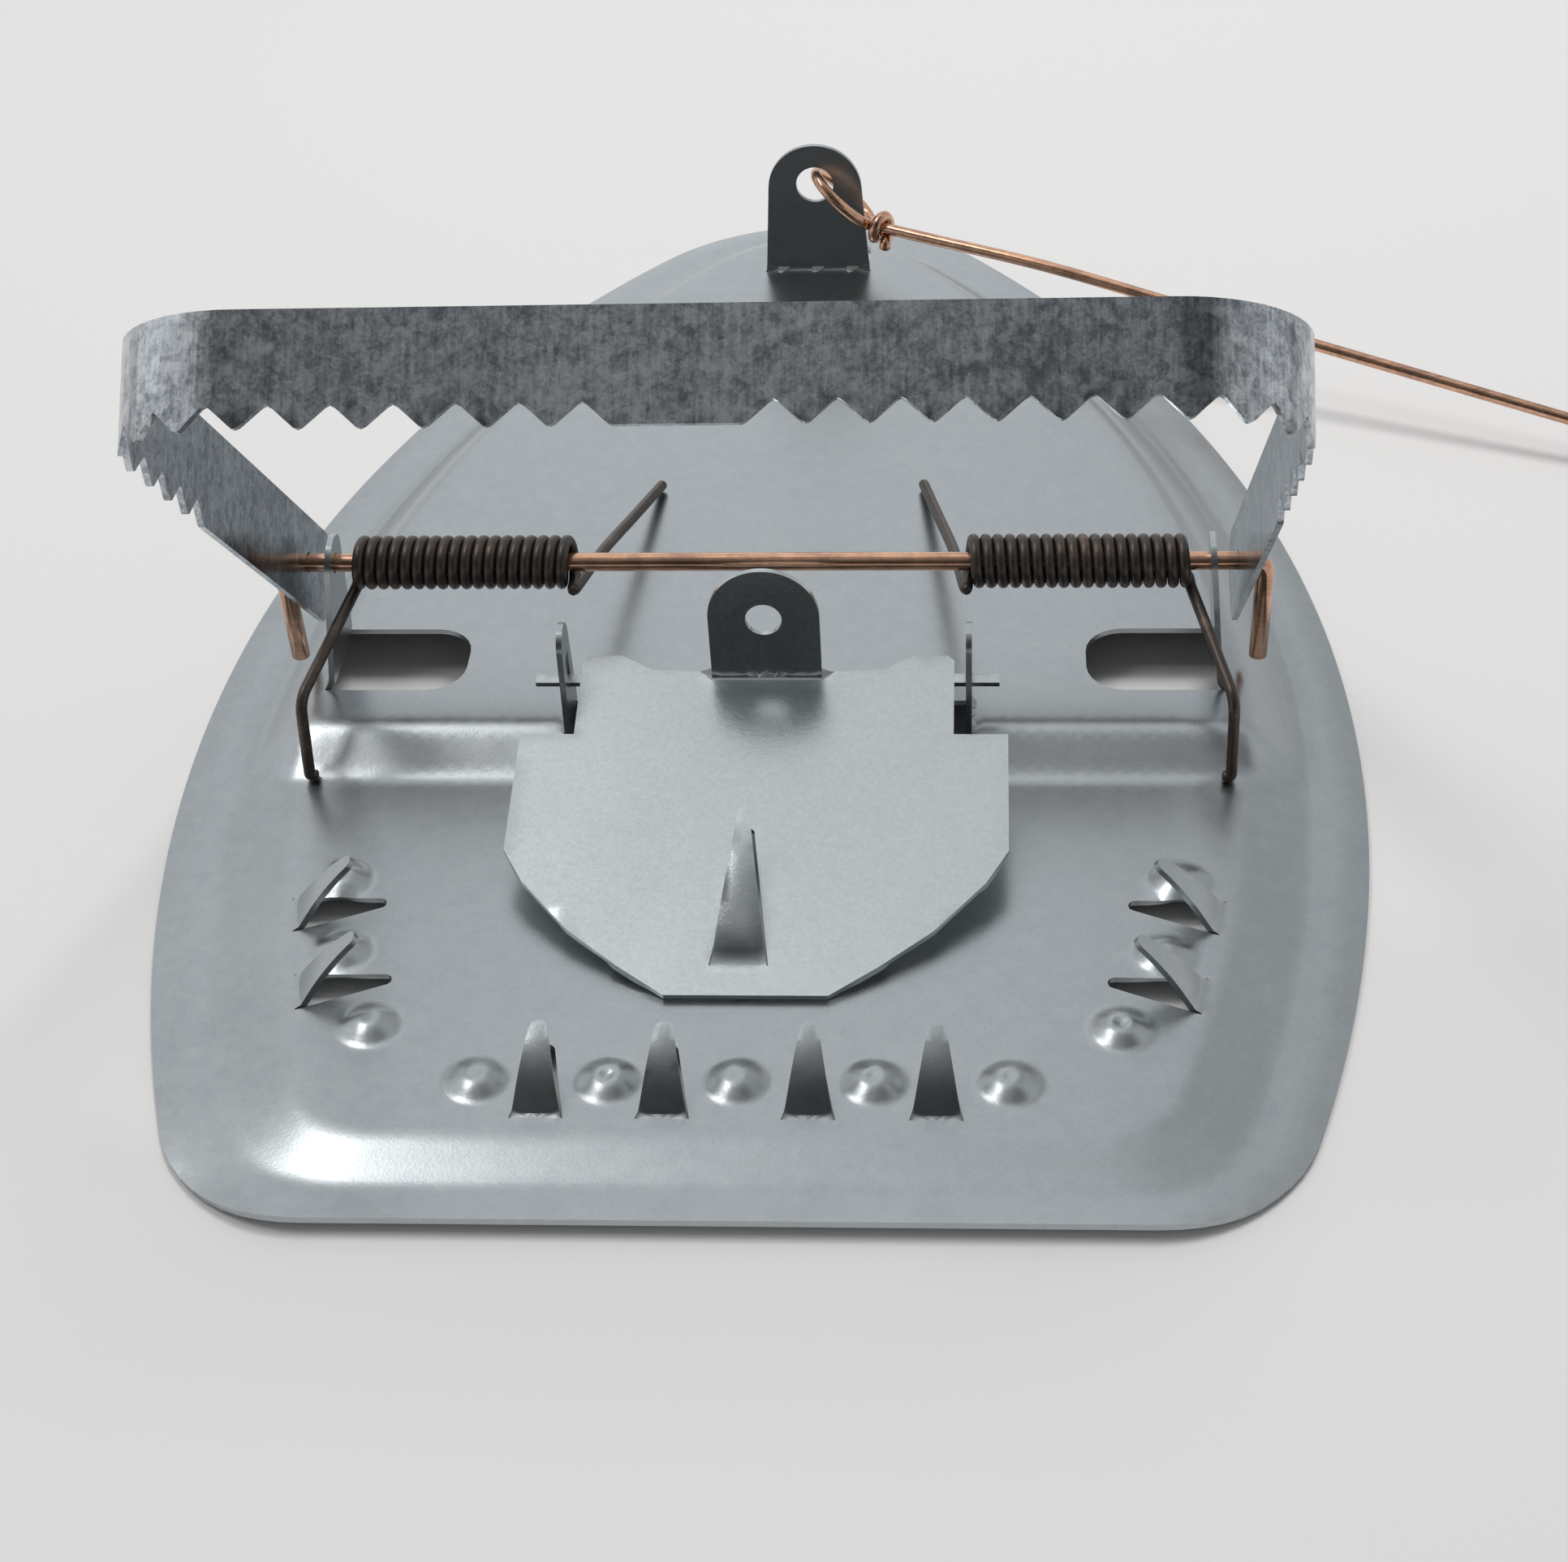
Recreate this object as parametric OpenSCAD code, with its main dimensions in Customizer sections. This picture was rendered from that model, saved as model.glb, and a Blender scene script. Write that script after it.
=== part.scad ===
// Stamped steel snap trap: a pressed base plate with lanced spikes, bumps and ears,
// a toothed jaw on a wire axle, two torsion springs, a bait plate and a trip rod.
// Millimetres, +Z up, +Y to the rear. The origin is on the underside of the front rim,
// halfway across, and the base lies on Z = 0.

/* [Base plate] */
// Greatest width of the base plate
base_w = 102; // [98:1:108]
// Length of the base plate
base_len = 151; // [146:1:160]
// Distance from the front edge to the widest place
widest_from_front = 54; // [50:1:58]
// Radius of the rear nose
nose_r = 23.2; // [20:0.2:26]
// Radius of the front corners
corner_r = 13; // [10:1:15]
// Thickness of all the sheet metal
sheet = 0.5; // [0.4:0.1:0.6]
// Width of the flat rim along the sides
rim_w = 5.5; // [4.5:0.5:6.5]
// Width of the flat rim along the front
rim_front_w = 3; // [2.4:0.2:3.6]
// Run of the slope between the rim and the raised panel
slope_w = 4.5; // [3.5:0.5:5]
// Height of the front panel's top
front_h = 2; // [1.7:0.1:2.3]
// Height of the rear panel's top
rear_h = 4.5; // [4:0.1:5]
// Run of the step between the two panels
step_run = 4.8; // [4:0.2:5.6]

/* [Spikes and bumps] */
// Length of a spike from its root to its tip
spike_len = 7.6; // [6.6:0.2:8.4]
// Width of a spike at its root
spike_w = 3.8; // [3.2:0.2:4.4]
// Angle of a spike above the panel
spike_lean = 41; // [35:1:50]
// Distance from the panel's front edge to the front spikes' roots
spike_inset = 1.8; // [1.6:0.1:2.4]
// Spacing of the front bumps, with the spikes between them
bump_pitch = 10.2; // [9.6:0.1:10.6]
// Radius of a bump
bump_r = 2.4; // [2:0.1:2.6]
// Height of a bump
bump_h = 1; // [0.8:0.1:1.2]

/* [Axle and ears] */
// Diameter of the axle wire
axle_d = 1.6; // [1.4:0.1:1.8]
// Height of the axle above the rear panel
axle_rise = 10.5; // [10:0.1:11]
// Distance of the axle behind the step
axle_behind_step = 9.2; // [8.6:0.2:10]
// Distance of the tall ears' feet inside the panel's side edge
ear_inset = 2; // [1.6:0.1:3]
// Inward lean of the tall ears
ear_lean = 5; // [0:0.5:6]
// Width of a tall ear at its foot
ear_w = 8.8; // [8:0.2:9.4]
// Radius of a tall ear's top
ear_top_r = 2.5; // [2.2:0.1:2.8]
// Length of the slot that a tall ear leaves
ear_slot_len = 11.2; // [10.4:0.1:12]
// Drop of the axle's bent ends below its centre line
axle_end_drop = 10.2; // [9:0.2:10.6]

/* [Jaw] */
// Distance of the arms' outer faces beyond the tall ears
jaw_beyond_ear = 2.6; // [2.3:0.1:3]
// Distance of the closed jaw's front face ahead of the front panel's edge
jaw_ahead = 0.5; // [0.2:0.1:1]
// Width of the jaw's strip
jaw_strip_w = 8; // [7.4:0.2:8.4]
// Outer radius of the jaw's corners
jaw_corner_r = 10; // [8:1:12]
// Length of the arms past the axle
jaw_tail = 7.5; // [6:0.5:8]
// Pitch of the jaw's teeth
tooth_pitch = 4.12; // [3.8:0.02:4.4]
// Depth of the jaw's teeth
tooth_depth = 1.6; // [1.2:0.05:1.7]
// Angle of the jaw above the front, as it stands
jaw_rest_angle = 47.8; // [44:0.2:52]

/* [Springs] */
// Turns of each spring
spring_turns = 18; // [14:1:18]
// Length of each coil
coil_len = 18.3; // [17.8:0.1:18.6]
// Diameter of the spring wire, drawn thin so that the turns stay apart
wire_d = 0.58; // [0.5:0.02:0.6]
// Mean radius of the coils
coil_r = 1.95; // [1.8:0.05:2.1]

/* [Bait plate] */
// Width of the bait plate
bait_w = 42; // [40:1:44]
// Length of the bait plate in front of its pivot
bait_len = 32.6; // [31:0.2:34]
// Height of the pivot above the rear panel
bait_rise = 4.3; // [4:0.1:4.6]
// Distance of the pivot in front of the axle
bait_before_axle = 8.7; // [8.4:0.1:9.2]
// Distance between the middles of the two short ears
short_ear_span = 34.4; // [34:0.2:35.2]
// Height of the short ears above the rear panel
short_ear_h = 10; // [9:0.2:10.6]
// Height of the catch tab above the pivot
catch_h = 10.6; // [10:0.2:11.4]
// Length of the bait hook
hook_len = 12.6; // [11:0.2:13.4]

/* [Rear tab and trip rod] */
// Distance of the rear tab in front of the nose
tab_from_nose = 17.2; // [16.6:0.2:18.6]
// Width of the rear tab
tab_w = 11; // [10:0.2:12]
// Height of the rear tab's hole above the rear panel
tab_hole_h = 10.1; // [9.6:0.1:10.6]
// Diameter of the rear tab's hole
tab_hole_d = 4; // [3.8:0.1:4.4]
// Diameter of the trip rod
rod_d = 1.2; // [1:0.1:1.3]
// Length of the trip rod past its eye
rod_len = 83; // [76:1:88]
// Heading of the trip rod from the side, toward the front
rod_heading = 22.7; // [19:0.1:26]

/* [Hidden] */
$fn = 48;

// Clearances
axle_fit = 0.06;
wing_fit = 0.2;
side_gap = 1.1;
rest_gap = 0.1;
// Overlap that fuses two shapes of one piece
bite = 0.1;
thin = 0.01;
// Distance from a fold's outer line to where its opening begins
fold = 0.3;

// Base outline
front_y = -rim_front_w / 2;
rear_y = front_y + base_len;
widest_y = front_y + widest_from_front;
panel_front_y = front_y + rim_front_w + slope_w;
panel_inset = rim_w + slope_w;
panel_half = base_w / 2 - panel_inset;
step_y = front_y + base_len * 0.321;
step_top_y = step_y + step_run;

// Axle line
axle_y = step_top_y + axle_behind_step;
axle_z = rear_h + axle_rise;
axle_r = axle_d / 2;
ear_foot_x = panel_half - ear_inset;
ear_x = ear_foot_x - axle_rise * tan(ear_lean);

// Spikes and bumps, as places on the front panel
spike_y = panel_front_y + spike_inset;
front_spike_x = [-1.5 * bump_pitch, -0.5 * bump_pitch, 0.5 * bump_pitch, 1.5 * bump_pitch];
front_bump_behind = 3.8;
front_bump_y = spike_y + front_bump_behind;
side_turn = 12;
side_spike_in = 1.4;
side_bump_in = 5.4;
corner_bump_in = 7;
side_rows = [13.2, 22.1];
bump_rows = [9.6, 17.8, 26.3];

// Bait plate pivot and tilt, with its front edge on the front panel
bait_y = axle_y - bait_before_axle;
bait_z = rear_h + bait_rise;
bait_drop = bait_z - front_h - sheet / 2 - rest_gap;
bait_tilt = asin(bait_drop / bait_len);
short_ear_x = short_ear_span / 2;
short_ear_w = 5.2;
short_ear_top_r = 1.8;
short_slot_len = 9.6;
short_slot_r = 1.8;
ear_slot_r = 3.4;
wing_slot_h = 3.2;
wing_w = 1;
tongue_gap = 1;
tongue_w = short_ear_span - sheet - 2 * tongue_gap;
notch_len = 6.2;
wing_len = 2.6;
tongue_len = 2.6;
lobe_w = 3.3;
catch_behind = 0.7;
catch_w = 9.4;
catch_hole_r = 1.55;
catch_hole_h = catch_h - catch_w / 2;
hook_w = 4.4;
hook_from_front = 2.8;
hook_off = -1.2;

// Rear tab
tab_y = rear_y - tab_from_nose;
tab_hole_z = rear_h + tab_hole_h;
tab_top_z = rear_h + tab_hole_h - tab_hole_d / 4;
tab_slot_len = 13.2;
tab_slot_r = 3;

// Jaw
jaw_half = ear_x + jaw_beyond_ear;
jaw_w = 2 * jaw_half;
closed_gap = 0.33;
jaw_reach = sqrt(pow(axle_y - panel_front_y + jaw_ahead, 2) + pow(axle_z - front_h - closed_gap, 2)
    - pow(jaw_strip_w / 2, 2));
tail_cut = 2.4;
jaw_mid_r = jaw_corner_r - sheet / 2;
jaw_bar_half = jaw_half - jaw_corner_r;
jaw_arm_len = jaw_reach - jaw_corner_r;
flat_from = -7.6;
flat_to = 4.8;
teeth_end = jaw_bar_half + jaw_mid_r * PI / 2 + 0.4 * jaw_arm_len;

// Spring coils on the axle, as distances from the middle
coil_gap = 2.3;
coil_out_x = ear_x - coil_gap;
coil_in_x = coil_out_x - coil_len;
pitch = coil_len / spring_turns;
rings_per_turn = 8;
wire_sides = 6;

// Trip rod eye
eye_r = 3.8;
eye_tilt = 25;
rod_r = rod_d / 2;
rod_fall = 5.7;
eye_x = eye_r * cos(eye_tilt);
eye_z = tab_hole_z - eye_r * sin(eye_tilt);
wrap_turns = 2;
wrap_r = 0.9 * rod_d;
wrap_pitch = 1.05 * rod_d;
wrap_start = 1.6;
wrap_lean = 12;

// Points of an arc
function arc(cx, cy, r, from, to, n) =
    [for (i = [0:n]) let (a = from + (to - from) * i / n) [cx + r * cos(a), cy + r * sin(a)]];

// Right half of a shield outline: front line, corner, bowed side and nose, all tangent
function half_shield(h, y0, y1, rn, rc) =
    let (l = y1 - widest_y,
         r = (h * h + l * l - 2 * rn * l) / (2 * (h - rn)),
         sx = h - r,
         dy = widest_y - y0 - rc,
         cx = sx + sqrt((r - rc) * (r - rc) - dy * dy),
         a1 = atan2(-dy, cx - sx),
         a2 = atan2(l - rn, -sx))
    concat(arc(cx, y0 + rc, rc, -90, a1, 8),
           arc(sx, widest_y, r, a1, a2, 18),
           arc(0, y1 - rn, rn, a2, 90, 8));

function mirrored(p) = [for (i = [len(p) - 1:-1:0]) [-p[i][0], p[i][1]]];

// Half width of the panel's edge at a given distance behind its front edge
panel_l = rear_y - panel_inset - widest_y;
panel_rn = nose_r - panel_inset;
panel_side_r = (panel_half * panel_half + panel_l * panel_l - 2 * panel_rn * panel_l)
    / (2 * (panel_half - panel_rn));
function panel_x(y) =
    panel_half - panel_side_r + sqrt(panel_side_r * panel_side_r - (y - widest_y) * (y - widest_y));

// Shield outline, drawn in from the edge by different amounts at the front and the sides
module shield(inset, front_inset, round_r) {
    right = half_shield(base_w / 2 - inset, front_y + front_inset, rear_y - inset, nose_r - inset, round_r);
    polygon(concat(right, mirrored(right)));
}

module rim_outline() shield(0, 0, corner_r);
module foot_outline() shield(rim_w, rim_front_w, corner_r - 3);
module top_outline() shield(panel_inset, rim_front_w + slope_w, corner_r - 6);

module behind(y) translate([-base_w, y]) square([2 * base_w, base_len]);

// Raised form of the front panel, and of the rear panel on top of it
module front_form() {
    hull() {
        linear_extrude(sheet) foot_outline();
        translate([0, 0, front_h - thin]) linear_extrude(thin) top_outline();
    }
}

module rear_form() {
    hull() {
        linear_extrude(sheet) intersection() { foot_outline(); behind(step_y); }
        translate([0, 0, front_h - thin]) linear_extrude(thin)
            intersection() { foot_outline_at_step(); behind(step_y); }
        translate([0, 0, rear_h - thin]) linear_extrude(thin)
            intersection() { top_outline(); behind(step_top_y); }
    }
}

// Where the rear panel's steeper side stands at the front panel's height
rear_side_inset = rim_w + slope_w * (front_h - sheet) / (rear_h - sheet);
module foot_outline_at_step() shield(rear_side_inset, rim_front_w, corner_r - 3);

module pressed_form() {
    front_form();
    rear_form();
}

// A flat blade with a rounded tip along +Y, its top face on Z = 0
tip_r = 0.5;
function blade_points(w, len) = concat([[-w / 2, -sheet], [w / 2, -sheet], [w / 2, 0]],
    arc(0, len - tip_r, tip_r, 12, 168, 6), [[-w / 2, 0]]);

module blade(w, len) translate([0, 0, -sheet]) linear_extrude(sheet) polygon(blade_points(w, len));

module spike() rotate([spike_lean, 0, 0]) blade(spike_w, spike_len);

module spike_opening() {
    translate([0, 0, -2 * sheet]) linear_extrude(3 * sheet)
        polygon([[-spike_w / 2, fold], [spike_w / 2, fold], [0.3, spike_len], [-0.3, spike_len]]);
}

// Puts children on the front panel at every spike
module at_spikes() {
    for (x = front_spike_x) translate([x, spike_y, front_h]) children();
    for (side = [-1, 1], row = side_rows)
        let (y = spike_y + row)
        translate([side * (panel_x(y) - side_spike_in), y, front_h])
        rotate([0, 0, side * (90 - side_turn)]) children();
}

bump_ball = (bump_r * bump_r + bump_h * bump_h) / (2 * bump_h);
bump_arc = asin(bump_r / bump_ball);
module bump() {
    top = [for (i = [0:5]) let (a = bump_arc * i / 5)
        [bump_ball * sin(a), bump_ball * cos(a) - bump_ball + bump_h]];
    under = [for (i = [5:-1:0]) [top[i][0], top[i][1] - sheet]];
    rotate_extrude() polygon(concat(top, under));
}

module at_bumps() {
    for (i = [-2:2]) translate([i * bump_pitch, front_bump_y, front_h]) children();
    for (side = [-1, 1], i = [0:2])
        let (y = spike_y + bump_rows[i])
        translate([side * (panel_x(y) - (i == 0 ? corner_bump_in : side_bump_in)), y, front_h]) children();
}

// Side view of an ear: a wide foot that runs into a round top
function ear_side(w, h, r) =
    let (d = sqrt(w * w / 4 + h * h), a = acos(r / d) - atan2(h, w / 2))
    concat([[-w / 2, -sheet], [w / 2, -sheet], [w / 2, 0]], arc(0, h, r, a, 180 - a, 12), [[-w / 2, 0]]);

// Stands a side view up across X, centred on X = 0
module across_x() rotate([90, 0, 90]) translate([0, 0, -sheet / 2]) linear_extrude(sheet) children();

module tall_ear(side) {
    difference() {
        translate([side * axle_rise * tan(ear_lean), 0, 0]) rotate([0, -side * ear_lean, 0]) across_x()
            polygon(ear_side(ear_w, axle_rise / cos(ear_lean), ear_top_r));
        translate([0, 0, axle_rise]) rotate([0, 90, 0])
            cylinder(r = axle_r + axle_fit, h = 4 * sheet, center = true);
    }
}

// Short ear with the upright slot that the bait plate's wing turns in
module short_ear() {
    difference() {
        across_x() polygon(ear_side(short_ear_w, short_ear_h - short_ear_top_r, short_ear_top_r));
        translate([-sheet, -wing_w / 2 - wing_fit, bait_rise - sheet / 2 - wing_fit])
            cube([2 * sheet, wing_w + 2 * wing_fit, wing_slot_h]);
    }
}

// Round-ended opening that runs from X = 0 toward -X
module lanced_opening(len, w, r) {
    translate([0, 0, -2 * sheet]) linear_extrude(3 * sheet) {
        translate([-len + r, -w / 2]) square([len - r, w]);
        for (y = [-w / 2 + r, w / 2 - r]) translate([-len + r, y]) circle(r);
        translate([-len, -w / 2 + r]) square([r, w - 2 * r]);
    }
}

module rear_tab() {
    difference() {
        rotate([90, 0, 0]) linear_extrude(sheet) {
            translate([-tab_w / 2, rear_h - sheet]) square([tab_w, tab_top_z - rear_h + sheet]);
            translate([0, tab_top_z]) circle(tab_w / 2);
        }
        translate([0, -sheet / 2, tab_hole_z]) rotate([90, 0, 0])
            cylinder(d = tab_hole_d, h = 4 * sheet, center = true);
    }
}

module tab_opening() {
    translate([0, 0, -sheet]) linear_extrude(rear_h + 2 * sheet) {
        translate([-tab_w / 2, 0]) square([tab_w, tab_slot_len - tab_slot_r]);
        translate([-tab_w / 2 + tab_slot_r, 0]) square([tab_w - 2 * tab_slot_r, tab_slot_len]);
        for (x = [-tab_w / 2 + tab_slot_r, tab_w / 2 - tab_slot_r])
            translate([x, tab_slot_len - tab_slot_r]) circle(tab_slot_r);
    }
}

module base_plate() {
    color("silver") {
        difference() {
            union() {
                linear_extrude(sheet) rim_outline();
                pressed_form();
            }
            translate([0, 0, -sheet]) pressed_form();
            at_spikes() spike_opening();
            at_bumps() translate([0, 0, -2 * sheet]) cylinder(r = bump_r - 0.25, h = 3 * sheet);
            for (side = [0, 180]) translate([0, axle_y, rear_h]) rotate([0, 0, side])
                translate([ear_foot_x - fold, 0, 0]) lanced_opening(ear_slot_len, ear_w, ear_slot_r);
            for (side = [0, 180]) translate([0, bait_y, rear_h]) rotate([0, 0, side])
                translate([short_ear_x - sheet / 2, 0, 0]) lanced_opening(short_slot_len, short_ear_w, short_slot_r);
            translate([0, tab_y, 0]) tab_opening();
        }
        at_spikes() spike();
        at_bumps() bump();
        for (side = [-1, 1]) {
            translate([side * ear_x, axle_y, rear_h]) tall_ear(side);
            translate([side * short_ear_x, bait_y, rear_h]) short_ear();
        }
        translate([0, tab_y, 0]) rear_tab();
    }
}

// Copper-coloured wire with both ends bent down outside the jaw's arms
end_x = jaw_half + side_gap + axle_r;
end_bend_r = 1.2;
// The wire is a hair thinner round its bends, and the straight runs reach into them
bend_thinning = 0.02;
module axle() {
    color("peru") translate([0, axle_y, axle_z]) {
        rotate([0, 90, 0]) cylinder(r = axle_r, h = 2 * (end_x - end_bend_r + bite), center = true);
        for (side = [-1, 1]) {
            translate([side * (end_x - end_bend_r), 0, -end_bend_r]) rotate([90, side > 0 ? 0 : -90, 0])
                rotate_extrude(angle = 90) translate([end_bend_r, 0]) circle(axle_r - bend_thinning);
            translate([side * end_x, 0, -axle_end_drop])
                cylinder(r = axle_r, h = axle_end_drop - end_bend_r + bite);
        }
    }
}

// Tube along a list of points
function unit(v) = v / norm(v);
function along(p, i) = unit(p[min(i + 1, len(p) - 1)] - p[max(i - 1, 0)]);
function ring_at(p, i, r, sides) =
    let (t = along(p, i),
         u = unit(cross(t, abs(t[0]) > 0.9 ? [0, 0, 1] : [1, 0, 0])),
         v = cross(t, u))
    [for (k = [0:sides - 1]) p[i] + r * (cos(360 * k / sides) * u + sin(360 * k / sides) * v)];

module tube(p, r, sides) {
    n = len(p);
    skin = [for (i = [0:n - 2], k = [0:sides - 1], half = [0, 1])
        let (a = i * sides + k, b = i * sides + (k + 1) % sides)
        half == 0 ? [a, b, b + sides] : [a, b + sides, a + sides]];
    caps = [for (k = [1:sides - 2], end = [0, 1])
        let (o = end * (n - 1) * sides)
        end == 0 ? [o, o + k + 1, o + k] : [o, o + k, o + k + 1]];
    polyhedron(points = [for (i = [0:n - 1]) each ring_at(p, i, r, sides)], faces = concat(skin, caps));
}

// Right-hand spring: outer leg, coil and inner leg, as one unbroken route.
// The outer leg leaves the coil's underside forward, kinks, and ends on the front panel.
// The inner leg leaves the underside rearward and ends on the rear panel.
wire_r = wire_d / 2;
leg_inset = 1.3;
kink_ahead = 12.5;
kink_drop = 5.4;
outer_tip_ahead = 14.1;
inner_tip_behind = 27.3;
inner_tip_in = 4.4;
kink = [jaw_half - leg_inset, axle_y - kink_ahead, axle_z - kink_drop];
outer_tip = [jaw_half - leg_inset, axle_y - outer_tip_ahead, front_h + rest_gap];
inner_tip = [coil_in_x - inner_tip_in, axle_y + inner_tip_behind, rear_h + wire_r + rest_gap];
out_fall = atan2(axle_z - coil_r - kink[2], axle_y - kink[1]);
in_fall = atan2(axle_z - coil_r - inner_tip[2], inner_tip[1] - axle_y);
coil_from = out_fall - 90;
coil_to = -360 * spring_turns - 90 - in_fall;
coil_steps = spring_turns * rings_per_turn;
function lerp(a, b, t) = a + (b - a) * t;
function coil_point(t) =
    let (a = lerp(coil_from, coil_to, t))
    [lerp(coil_out_x, coil_in_x, t), axle_y + coil_r * cos(a), axle_z + coil_r * sin(a)];
coil_route = [for (i = [0:coil_steps]) coil_point(i / coil_steps)];
spring_route = concat(
    [outer_tip, outer_tip + [0, 0, wire_d], lerp(outer_tip, kink, 0.94), lerp(kink, coil_route[0], 0.05),
        lerp(kink, coil_route[0], 0.9)],
    coil_route,
    [lerp(coil_route[coil_steps], inner_tip, 0.06), inner_tip]);

// Least gap of the wire to itself, between points at least half a turn apart on the route
route_n = len(spring_route);
self_gaps = [for (i = [0:route_n - 1], j = [i + rings_per_turn / 2:1:route_n - 1])
    norm(spring_route[j] - spring_route[i]) - wire_d];
echo(least_gap_of_spring_to_itself = min(self_gaps));

module spring_right() color("dimgray") tube(spring_route, wire_r, wire_sides);
module spring_left() mirror([1, 0, 0]) spring_right();

// Place on the jaw's strip at a distance along it from the middle: x, y and heading
function strip_place(s) =
    let (side = s < 0 ? -1 : 1,
         a = abs(s),
         bend = jaw_mid_r * PI / 2,
         turn = 90 * (a - jaw_bar_half) / bend)
    a < jaw_bar_half ? [s, -jaw_reach + sheet / 2, 0]
    : a < jaw_bar_half + bend
        ? [side * (jaw_bar_half + jaw_mid_r * sin(turn)), -jaw_arm_len - jaw_mid_r * cos(turn), side * turn]
        : [side * (jaw_half - sheet / 2), -jaw_arm_len + a - jaw_bar_half - bend, side * 90];

module notch() {
    w = tooth_pitch - 0.3;
    rotate([90, 0, 0]) linear_extrude(8 * sheet, center = true)
        polygon([[-w / 2 - bite, -bite], [w / 2 + bite, -bite], [w / 2, 0], [0, tooth_depth], [-w / 2, 0]]);
}

module jaw_outline(inset) {
    translate([-jaw_half + inset, -jaw_arm_len])
        square([jaw_w - 2 * inset, jaw_arm_len + jaw_tail]);
    translate([-jaw_bar_half, -jaw_reach + inset]) square([2 * jaw_bar_half, jaw_corner_r]);
    for (x = [-jaw_bar_half, jaw_bar_half]) translate([x, -jaw_arm_len]) circle(jaw_corner_r - inset);
}

notches = [for (s = [flat_to:tooth_pitch:teeth_end]) s];
left_notches = [for (s = [flat_from:-tooth_pitch:-teeth_end]) s];

// Drawn flat to the front, then raised about the axle
module jaw() {
    color("lightsteelblue") translate([0, axle_y, axle_z]) rotate([-jaw_rest_angle, 0, 0]) difference() {
        translate([0, 0, -jaw_strip_w / 2]) linear_extrude(jaw_strip_w) difference() {
            jaw_outline(0);
            jaw_outline(sheet);
            translate([-jaw_half + sheet, -jaw_arm_len]) square([jaw_w - 2 * sheet, jaw_reach + jaw_tail]);
        }
        for (s = concat(notches, left_notches)) let (p = strip_place(s))
            translate([p[0], p[1], -jaw_strip_w / 2]) rotate([0, 0, p[2]]) notch();
        rotate([0, 90, 0]) cylinder(r = axle_r + axle_fit, h = 2 * jaw_w, center = true);
        for (z = [-1, 1]) translate([0, jaw_tail, z * jaw_strip_w / 2]) rotate([45, 0, 0])
            cube([2 * jaw_w, tail_cut, tail_cut], center = true);
    }
}

// Bait plate in its own plane: pivot at the origin, front toward -Y
front_half = bait_w * 0.157;
bait_edge = [
    [front_half, -bait_len],
    [bait_w * 0.252, -bait_len * 0.915],
    [bait_w * 0.355, -bait_len * 0.81],
    [bait_w * 0.455, -bait_len * 0.665],
    [bait_w / 2, -bait_len * 0.565],
    [bait_w / 2, -notch_len],
    [tongue_w / 2, -notch_len],
    [tongue_w / 2, -wing_w / 2],
    [short_ear_x + wing_len, -wing_w / 2],
    [short_ear_x + wing_len, wing_w / 2],
    [tongue_w / 2, wing_w / 2],
    [tongue_w / 2, tongue_len],
    [tongue_w / 2 - lobe_w, tongue_len],
    [tongue_w / 2 - 2 * lobe_w, catch_behind],
    [catch_w / 2, catch_behind]];

module hook_opening() {
    root = -bait_len + hook_from_front;
    translate([hook_off, root, -2 * sheet]) linear_extrude(4 * sheet)
        polygon([[-hook_w / 2, 0], [hook_w / 2, 0], [0.5, hook_len], [-0.5, hook_len]]);
}

// Curved hook: a tapered blade cut from a bent sheet
hook_bend_r = 17;
hook_start = 34;
module hook() {
    sweep = hook_len / hook_bend_r * 180 / PI;
    outer = arc(0, 0, hook_bend_r, 0, sweep, 8);
    inner = arc(0, 0, hook_bend_r - sheet, sweep, 0, 8);
    intersection() {
        rotate([hook_start, 0, 0]) translate([-hook_w / 2, 0, hook_bend_r]) rotate([90, 0, 90]) rotate([0, 0, -90])
            linear_extrude(hook_w) polygon(concat(outer, inner));
        rotate([hook_start + sweep / 2, 0, 0]) translate([0, 0, -hook_bend_r]) linear_extrude(2 * hook_bend_r)
            polygon([[-hook_w / 2, -1], [hook_w / 2, -1], [hook_w / 2, 0], [0.35, hook_len], [-0.35, hook_len],
                [-hook_w / 2, 0]]);
    }
}

module catch_tab() {
    difference() {
        rotate([90, 0, 0]) linear_extrude(sheet) {
            translate([-catch_w / 2, -sheet / 2]) square([catch_w, catch_h - catch_w / 2 + sheet / 2]);
            translate([0, catch_h - catch_w / 2]) circle(catch_w / 2);
        }
        translate([0, -sheet / 2, catch_hole_h]) rotate([90, 0, 0])
            cylinder(r = catch_hole_r, h = 4 * sheet, center = true);
    }
}

module bait_plate() {
    color("gainsboro") translate([0, bait_y, bait_z]) {
        rotate([bait_tilt, 0, 0]) {
            difference() {
                translate([0, 0, -sheet / 2]) linear_extrude(sheet) polygon(concat(bait_edge, mirrored(bait_edge)));
                hook_opening();
            }
            translate([hook_off, -bait_len + hook_from_front - bite, sheet / 2 - bite]) hook();
        }
        translate([0, catch_behind, 0]) catch_tab();
    }
}

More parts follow.
